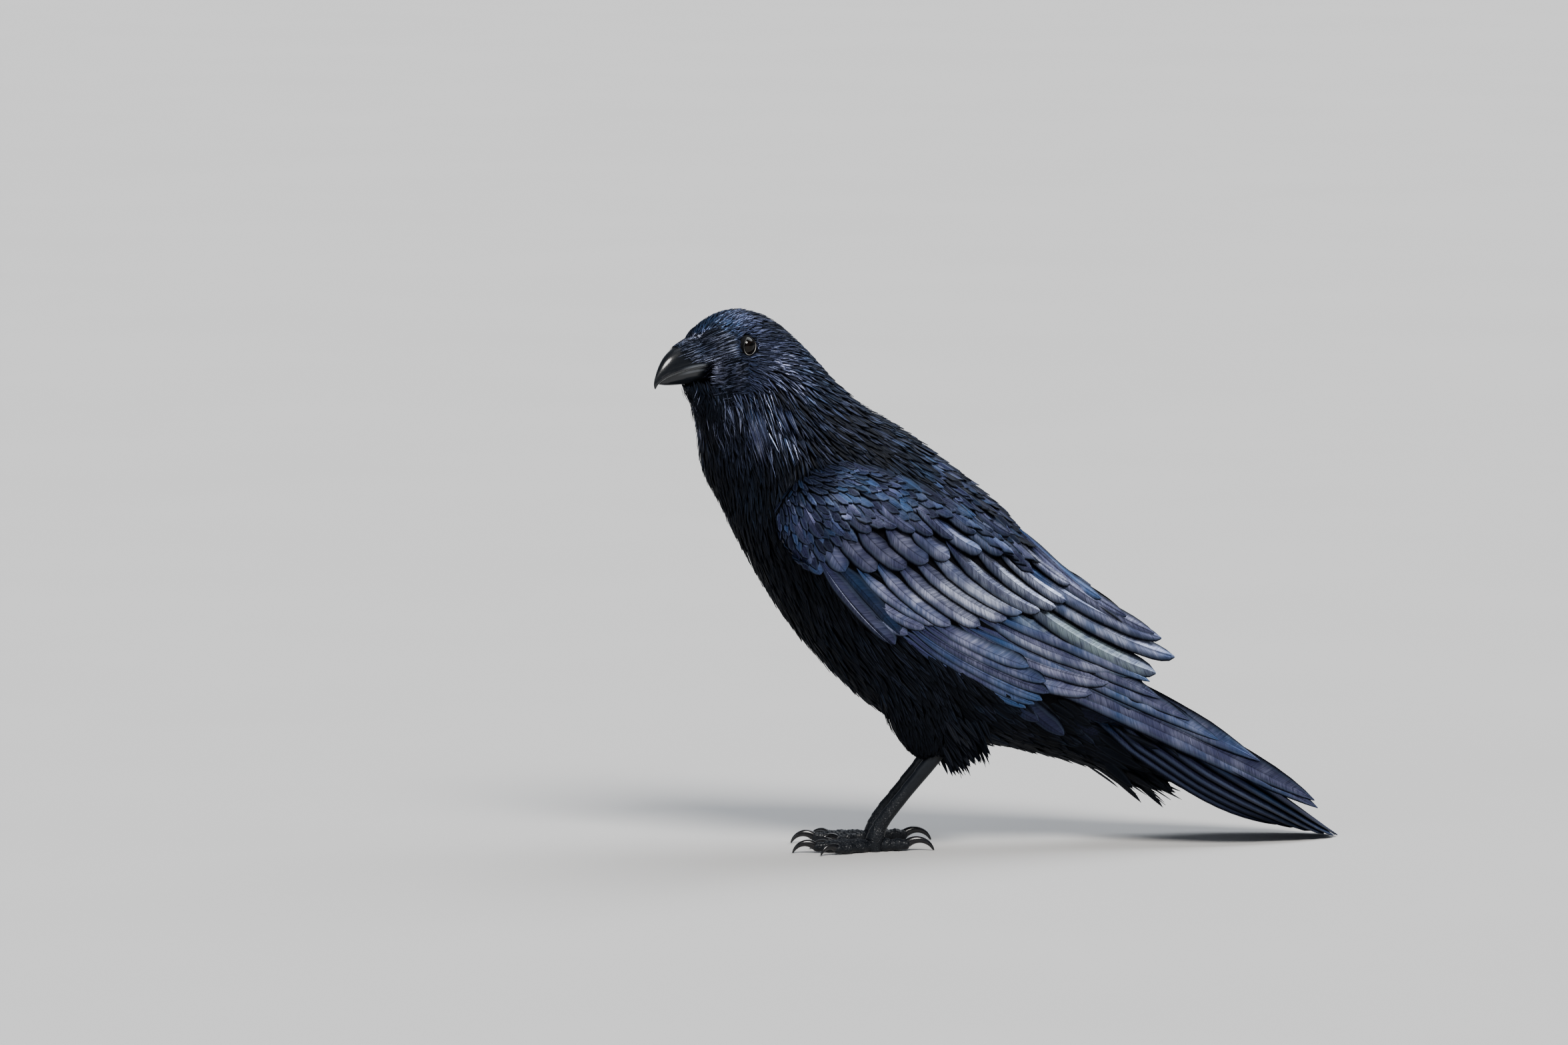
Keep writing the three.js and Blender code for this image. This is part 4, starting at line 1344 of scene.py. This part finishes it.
coat("shoulder_coverts", roots, values, blunt=0.55, power=0.6, sink=-1.2, lift=0.8, bend=0.10,
     wild=0.05, vary=0.45)

# The shoulder-blade feathers are the broad loose ones that close the gap between the
# back and the wing, and shine bluest.
SCAPULARS = (
    body_row(44, -30, 276, (0.05, 0.85, -0.5), 18, 7, 0.35, 0.8, 0)
    + body_row(40, 15, 264, (0, 0.8, -0.6), 28, 9, 0.5, 1.0, 0.1)
    + body_row(34, 48, 246, (0, 0.78, -0.62), 34, 11, 0.7, 1.0, 0.2)
    + body_row(28, 80, 224, (0, 0.76, -0.65), 36, 12, 0.75, 1.0, 0.2)
    + body_row(20, 115, 203, (0, 0.74, -0.67), 34, 13, 0.6, 1.0, 0.05)
)
SCAPULAR_ENDS = (-50, 80)
SCAPULAR_TRIES = 20000
scapular_area = on_wing & above_blade & (back > SCAPULAR_ENDS[0]) & (back < SCAPULAR_ENDS[1])
roots, values = scattered(scapular_area, SCAPULARS, SCAPULAR_TRIES, lambda rows: 0.5 * rows[:, 4])
coat("shoulder_blade_feathers", roots, values, blunt=0.62, power=0.6, sink=-1.2, lift=1.0,
     bend=0.2, wild=0.04, vary=0.6)

# Long broad feathers grow from the lower back and bridge the two folded wings over the
# rump. They hang in two rows, three to each side of the middle.
BRIDGE_BACK = (70, 120, 140, 160, 180, 200)
BRIDGE_HIGH = (240, 194, 182, 168, 148, 132)
BRIDGE_FALL = 0.014  # its sides drop by this times the square of how far out they are
BRIDGE_TUCK = 4  # how deep the roots lie under the feathers before them
BRIDGE_STEP = 0.7
BRIDGE_HALF = 8.5 * MM
BRIDGE_LEAN = 0.3
BRIDGE_UP = (0.66, 0.74)  # back and up
BRIDGE_ROWS = (  # how far back they start and end, and how deep they lie
    ((78, 75, 72), (146, 150, 142), 0.0),
    ((108, 106, 102), (186, 182, 172), 1.6),
)
BRIDGE_OUT = ((2.5, 9, 15), (4, 12, 17))
lines = []
for starts, ends, deep in BRIDGE_ROWS:
    for start, end, near, far, order in zip(starts, ends, *BRIDGE_OUT, range(3)):
        back = start + (end - start) * BLADE_STATIONS
        across = near + (far - near) * BLADE_STATIONS
        high = through(BRIDGE_HIGH, np.interp(back, BRIDGE_BACK, np.linspace(0, 1, 6)))
        high = high - BRIDGE_FALL * across**2 - deep - BRIDGE_STEP * order
        high = high - BRIDGE_TUCK * (1 - BLADE_STATIONS) ** 3
        for sign in (1, -1):
            lower = BRIDGE_STEP / 2 * (sign < 0)
            lines.append(np.stack((sign * across, back, high - lower), -1))
lines = at(np.array(lines))
tilt = np.sign(lines[:, :, :1] - ORIGIN[0]) * BRIDGE_LEAN
up = unit(np.concatenate([tilt] + [np.full_like(tilt, share) for share in BRIDGE_UP], -1))
side, up = sideways(lines, up)
half = BRIDGE_HALF * profile(BLADE_STATIONS, 0.72, 0.55) * np.ones((len(lines), 1))
facts = facts_of(lines[:, 0], gloss=0.6, blue=1.0, silver=rng.uniform(0, 0.3, len(lines)))
vanes("long_back_feathers", lines, side, up, half, np.full_like(half, 0.3 * MM),
      np.full_like(half, 0.12), facts, BLADE)

# Long soft coverts run on from the belly under the tail, and from the rump over its root.
# Those that would pass through a folded wing are left out.
UNDER_TAIL = (
    body_row(0, 120, 58, (0, 0.93, -0.36), 36, 10, 0.10, 0.2, 0)
    + body_row(0, 200, 40, (0, 0.86, -0.5), 42, 10, 0.12, 0.3, 0)
    + body_row(20, 170, 60, (0, 0.88, -0.47), 34, 10, 0.14, 0.4, 0)
    + body_row(0, 185, 108, (0, 0.76, -0.65), 40, 14, 0.5, 0.8, 0.05)
    + body_row(14, 195, 90, (0, 0.78, -0.62), 34, 11, 0.5, 0.8, 0.05)
)
COVERTS_BACK = 122
COVERT_TRIES = 8000
x, back, high = centre_mm.T
around_tail = (back > COVERTS_BACK) & ~inside & ~on_wing
roots, values = scattered(around_tail, UNDER_TAIL, COVERT_TRIES,
                          lambda rows: 0.36 * np.sqrt(rows[:, 3] * rows[:, 4]))
coat("tail_coverts", roots, values, blunt=0.55, power=0.7, sink=-2.4, lift=0.4, bend=0.2,
     wild=0.05, clear=limb_tree)

# Loose pointed feathers stand off the back of each thigh, and longer soft ones close the
# step from the vent to the tail. They hang by their roots alone, clear of the form.
LOOSE_STATIONS = np.linspace(0, 1, 7)
LOOSE_LOW = 4  # none comes nearer the floor
BELOW = -0.25  # a face looks down if it points up by less than this
VENT_BACK = (140, 177)
VENT_GAP = 4.2
THIGH_BACK = (38, 64)
THIGH_OUT = 12
THIGH_BELOW = 92
THIGH_GAP = 2.6


def loose(name, points, way, length, width, rise, blunt, gloss):
    """Feathers that leave the form straight instead of following it."""
    count = len(points)
    stations = LOOSE_STATIONS
    ways = unit(np.asarray(way, float) + rng.normal(0, 0.10, (count, 3)))
    facing = np.array([guide.find_nearest(Vector(point))[1] for point in points])
    reach = rng.uniform(0.75, 1.15, count)[:, None, None] * length * MM * stations[None, :, None]
    line = points[:, None] - facing[:, None] * 1.5 * MM + ways[:, None] * reach
    line = line + facing[:, None] * rise * MM * stations[None, :, None] ** 2
    line[..., 2] = np.maximum(line[..., 2], at(0, 0, LOOSE_LOW)[2])
    up = np.broadcast_to(facing[:, None], line.shape)
    side, up = sideways(line, up)
    half = width / 2 * MM * rng.uniform(0.7, 1.2, (count, 1)) * profile(stations, blunt, 0.8)
    facts = facts_of(points, gloss=gloss, blue=0.3, silver=0.0)
    return vanes(name, line, side, up, half, np.full_like(half, 0.14 * MM),
                 np.full_like(half, 0.25), facts)


form_face = np.cross(form_corners[form_faces[:, 2]] - form_corners[form_faces[:, 0]],
                     form_corners[form_faces[:, 3]] - form_corners[form_faces[:, 1]])
below = unit(form_face)[:, 2] < BELOW
vent = below & (back > VENT_BACK[0]) & (back < VENT_BACK[1])
roots, values = scattered(vent, UNDER_TAIL, 3000, lambda rows: np.full(len(rows), VENT_GAP))
loose("vent_feathers", roots, (0, 0.84, -0.42), 36, 8, 0.0, 0.5, 0.10)
hind = body_area & (np.abs(x) > THIGH_OUT) & (high < THIGH_BELOW)
hind = hind & (back > THIGH_BACK[0]) & (back < THIGH_BACK[1])
roots, values = scattered(hind, COAT, 4000, lambda rows: np.full(len(rows), THIGH_GAP))
loose("trousers", roots, (0, 0.5, -0.85), 17, 3.4, 1.5, 0.2, 0.10)

# The tail: twelve long stiff vanes in pairs, rooted side by side in its flesh. The middle
# pair roofs the rest, and each pair further out lies lower and ends sooner, so that the
# shut tail is a wedge.
TAIL_SIDE = np.arange(-45, 46, FIELD_STEP)
TAIL_PAIRS = 6
TAIL_STEP = 1.15  # each pair below the last
TAIL_TOP = 0.9
TAIL_TIP_OUT = (3.5, 9, 14.5, 19.5, 24, 27.5)
TAIL_TIP_BACK = (320, 316, 308, 298, 287, 276)
TAIL_BOW = (6, 8, 9, 9, 8, 7)  # how far a pair bows outwards
TAIL_HALF = (14, 14, 13.5, 13, 12.5, 12)
tail_form = copied("tail_mould", ["tail"])
tail_field = height_field(tree_of(tail_form), TAIL_SIDE, FIELD_BACK,
                          lambda side, back: ((side, back, 200), (0, 0, -1), 2))
bpy.data.objects.remove(tail_form)
pair = np.arange(TAIL_PAIRS)
share = BLADE_STATIONS
tail_root = np.stack((3 + 3.6 * pair, 150 - 5 * pair), -1)
tail_tip = np.stack((TAIL_TIP_OUT, TAIL_TIP_BACK), -1)
path = tail_root[:, None] + (tail_tip - tail_root)[:, None] * share[None, :, None]
spread = np.array(TAIL_BOW)[:, None] * np.sin(share * math.pi) ** 0.8
side_way = path[..., 0] + spread
level, inner, outer = (
    field_value(tail_field, TAIL_SIDE, FIELD_BACK, side_way + gap, path[..., 1])
    for gap in (0, -3, 3)
)
slope = (outer - inner) / 6
stack = TAIL_TOP + TAIL_STEP * pair[:, None] * (1 - 0.35 * share)
line = np.stack((side_way, path[..., 1], np.maximum(level - stack, TAIL_TOP)), -1)
up = unit(np.stack((-slope * 0.75, np.full_like(slope, 0.5), np.ones_like(slope)), -1))
side, up = sideways(line, up)
half = np.array(TAIL_HALF)[:, None] * profile(share, 0.68, 0.6)
half = half * (0.72 + 0.28 * np.clip(share * 2, 0, 1))
lines = np.concatenate((line, line * (-1, 1, 1)))
sides = np.concatenate((side, side * (1, -1, -1)))
ups = np.concatenate((up, up * (-1, 1, 1)))
lines[TAIL_PAIRS:, :, 2] -= 0.5
half = np.concatenate((half, half)) * MM
facts = facts_of(at(lines[:, 0]), gloss=0.62, blue=0.9, silver=0.04)
tail = vanes("tail_feathers", at(lines), sides, ups, half, np.full_like(half, 0.3 * MM),
             np.full_like(half, 0.04), facts, BLADE)
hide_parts("tail")

# The bare legs are bone in black scaly skin: broad shields down the front of the shank and
# along the top of each toe, fine grains behind, and soft pads below. Each toe ends in a
# hooked claw of horn.
LEG_APART = 24
FAR_LEG_BACK = 8
SHANK = (
    ((0, 41, 74), 4.8, 5.4),
    ((0, 30, 60), 4.4, 5),
    ((0, 10, 36), 3.9, 4.4),
    ((0, -4, 18), 4.5, 4.8),
    ((0, -8, 8), 6.4, 6),
    ((0, -9, 0), 5.8, 5.4),
)
TOES = (  # yaw from straight ahead, length, thickness, claw, and shields on top
    ("middle", 2, 43, 5.0, 19, 15),
    ("inner", -24, 32, 4.8, 18, 11),
    ("outer", 27, 34, 4.6, 16, 12),
    ("back", 176, 25, 5.2, 23, 9),
)
END_CAP = 0.004  # the share of the shank in which an end closes
LEG_ROUND, LEG_ALONG = 40, 150
TOE_ROUND, TOE_ALONG = 36, 96
CLAW_ROUND, CLAW_ALONG = 24, 40
TOE_TAPER = 0.28
SHIELDS = 11  # down the shank
CREASES = 26
SHIELD_RISE = 0.6
PADS = 3
PAD_SWELL = 0.12
SMOOTH_FROM = (0.022, 0.046)
CLAW_RISE = math.radians(40)
CLAW_FALL = math.radians(-72)

scale_skin, tree, shader, place = blank("scaled_skin")
cells = node(tree, "ShaderNodeTexVoronoi", {"feature": "DISTANCE_TO_EDGE"}, Vector=place, Scale=620.0)
grain = noise(tree, place, 1500.0, 3.0)
smear = noise(tree, place, 160.0, 3.0)
crack = cells.step(0.0, 0.12)
smooth = parts_of(tree, place)[2].step(*SMOOTH_FROM) * 0.85  # up the shank
tone = blend(tree, smear, (0.004, 0.005, 0.008), (0.010, 0.013, 0.018))
tone = blend(tree, (1 - crack) * (1 - smooth) * 0.5, tone, (0.013, 0.015, 0.019))
feed(tree, shader, Base_Color=tone, Roughness=0.26 + smear * 0.22, Specular_IOR_Level=0.4,
     Normal=bumped(tree, crack * (1 - smooth) * 0.8 + grain * 0.25, 0.5, 0.0005))
claw_horn, tree, shader, place = blank("claw_horn")
grain = noise(tree, place, 500.0, 3.0)
feed(tree, shader, Base_Color=blend(tree, grain, (0.004, 0.004, 0.005), (0.014, 0.014, 0.016)),
     Roughness=0.16 + grain * 0.16, Coat_Weight=0.3, Coat_Roughness=0.1,
     Normal=bumped(tree, grain, 0.15, 0.0004))


def shield(t, count, front):
    """Overlapping shields: each rises slowly and drops to the next."""
    phase = (t * count) % 1
    return SHIELD_RISE * front * (phase**1.5 - 1.2 * np.clip((phase - 0.9) / 0.1, 0, 1))


def shank_place(hip):
    """The shank under a hip, from its top to the floor."""
    def place(t, turn):
        angle = turn * 2 * math.pi
        reach = np.clip(np.minimum(t, 1 - t) / END_CAP, 0, 1)
        bone_line, wide, deep = zip(*SHANK)
        middle, wide, deep = through(bone_line, t), through(wide, t), through(deep, t)
        ahead = through(bone_line, np.clip(t + 0.01, 0, 1))
        behind = through(bone_line, np.clip(t - 0.01, 0, 1))
        fore = unit(np.cross(unit(ahead - behind), (1, 0, 0)))
        front = np.clip(-fore[:, 1:2] * np.cos(angle)[:, None], 0, 1)[:, 0]
        rough = shield(t, SHIELDS, front * np.clip(8 * (0.9 - t), 0, 1))
        creased = np.clip((t - 0.52) * 5, 0, 1) * np.clip((0.97 - t) * 12, 0, 1) * (1 - front)
        rough = rough + shield(t + 0.006 * np.sin(angle * 3), CREASES, creased)
        spot = middle + fore * (reach * np.cos(angle) * (deep + rough))[:, None]
        spot = spot + np.array((1, 0, 0)) * (reach * np.sin(angle) * (wide + rough * 0.4))[:, None]
        spot[:, 2] = np.maximum(spot[:, 2], 0)
        return at(spot + hip)

    return place


def spun(spot, yaw, foot):
    """Spots of a toe that points straight ahead, turned and put on the foot."""
    c, s = math.cos(math.radians(yaw)), math.sin(math.radians(yaw))
    return at(spot @ np.array(((c, s, 0), (-s, c, 0), (0, 0, 1))) + foot)


def toe_place(yaw, foot, length, thick, shields):
    """A toe flat on the floor, with pads below and shields on top."""
    def place(t, turn):
        angle = turn * 2 * math.pi
        girth = thick * (1 - TOE_TAPER * t) * (1 + PAD_SWELL * np.cos(PADS * 2 * math.pi * t))
        end = np.sqrt(1 - np.clip((t - 0.86) / 0.14, 0, 1) ** 2)
        start = np.clip(t / 0.01, 0, 1)
        top = np.clip(np.cos(angle), 0, 1)
        rough = shield(t, shields, top**0.7)
        reach = girth * end * start
        rise = thick * 0.86 + np.cos(angle) * (reach * (1 - 0.12 * top) + rough * end * start)
        spot = np.stack((np.sin(angle) * (reach + rough * 0.3), -t * length, np.maximum(rise, 0)), -1)
        return spun(spot, yaw, foot)

    return place


def claw_place(yaw, foot, length, thick, claw):
    """The claw at a toe's end: an arc that rises, turns down and narrows to a point."""
    radius = claw / (CLAW_RISE - CLAW_FALL)

    def place(t, turn):
        angle = turn * 2 * math.pi
        lean = CLAW_RISE + (CLAW_FALL - CLAW_RISE) * t
        girth = thick * 0.6 * (1 - t) ** 0.7 + 0.25
        start = np.clip(np.minimum(t / 0.01, (1 - t) / 0.003), 0, 1)
        ahead = length - 2 + radius * (math.sin(CLAW_RISE) - np.sin(lean))
        rise = thick * 0.9 + radius * (np.cos(lean) - math.cos(CLAW_RISE))
        keel = np.where(np.cos(angle) < 0, 0.85, 1.0)
        over = np.cos(angle) * girth * start * keel
        spot = np.stack((
            np.sin(angle) * girth * start * 0.75,
            -ahead + over * np.sin(lean),
            np.maximum(rise + over * np.cos(lean), 0.3),
        ), -1)
        return spun(spot, yaw, foot)

    return place


for sign, leg in ((1, "left"), (-1, "right")):
    hip = np.array((sign * LEG_APART, 0 if sign > 0 else FAR_LEG_BACK, 0))
    foot = hip + np.array((0, SHANK[-1][0][1], 0))
    bone = shaped("leg_" + leg, LEG_ROUND, LEG_ALONG, shank_place(hip), scale_skin)
    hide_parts("shank_" + leg)
    for toe, yaw, length, thick, claw, shields in TOES:
        pad = shaped(f"pad_{leg}_{toe}", TOE_ROUND, TOE_ALONG,
                     toe_place(sign * yaw, foot, length, thick, shields), scale_skin)
        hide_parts(f"toe_{leg}_{toe}")
        nail = shaped(f"nail_{leg}_{toe}", CLAW_ROUND, CLAW_ALONG,
                      claw_place(sign * yaw, foot, length, thick, claw), claw_horn)
        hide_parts(f"claw_{leg}_{toe}")
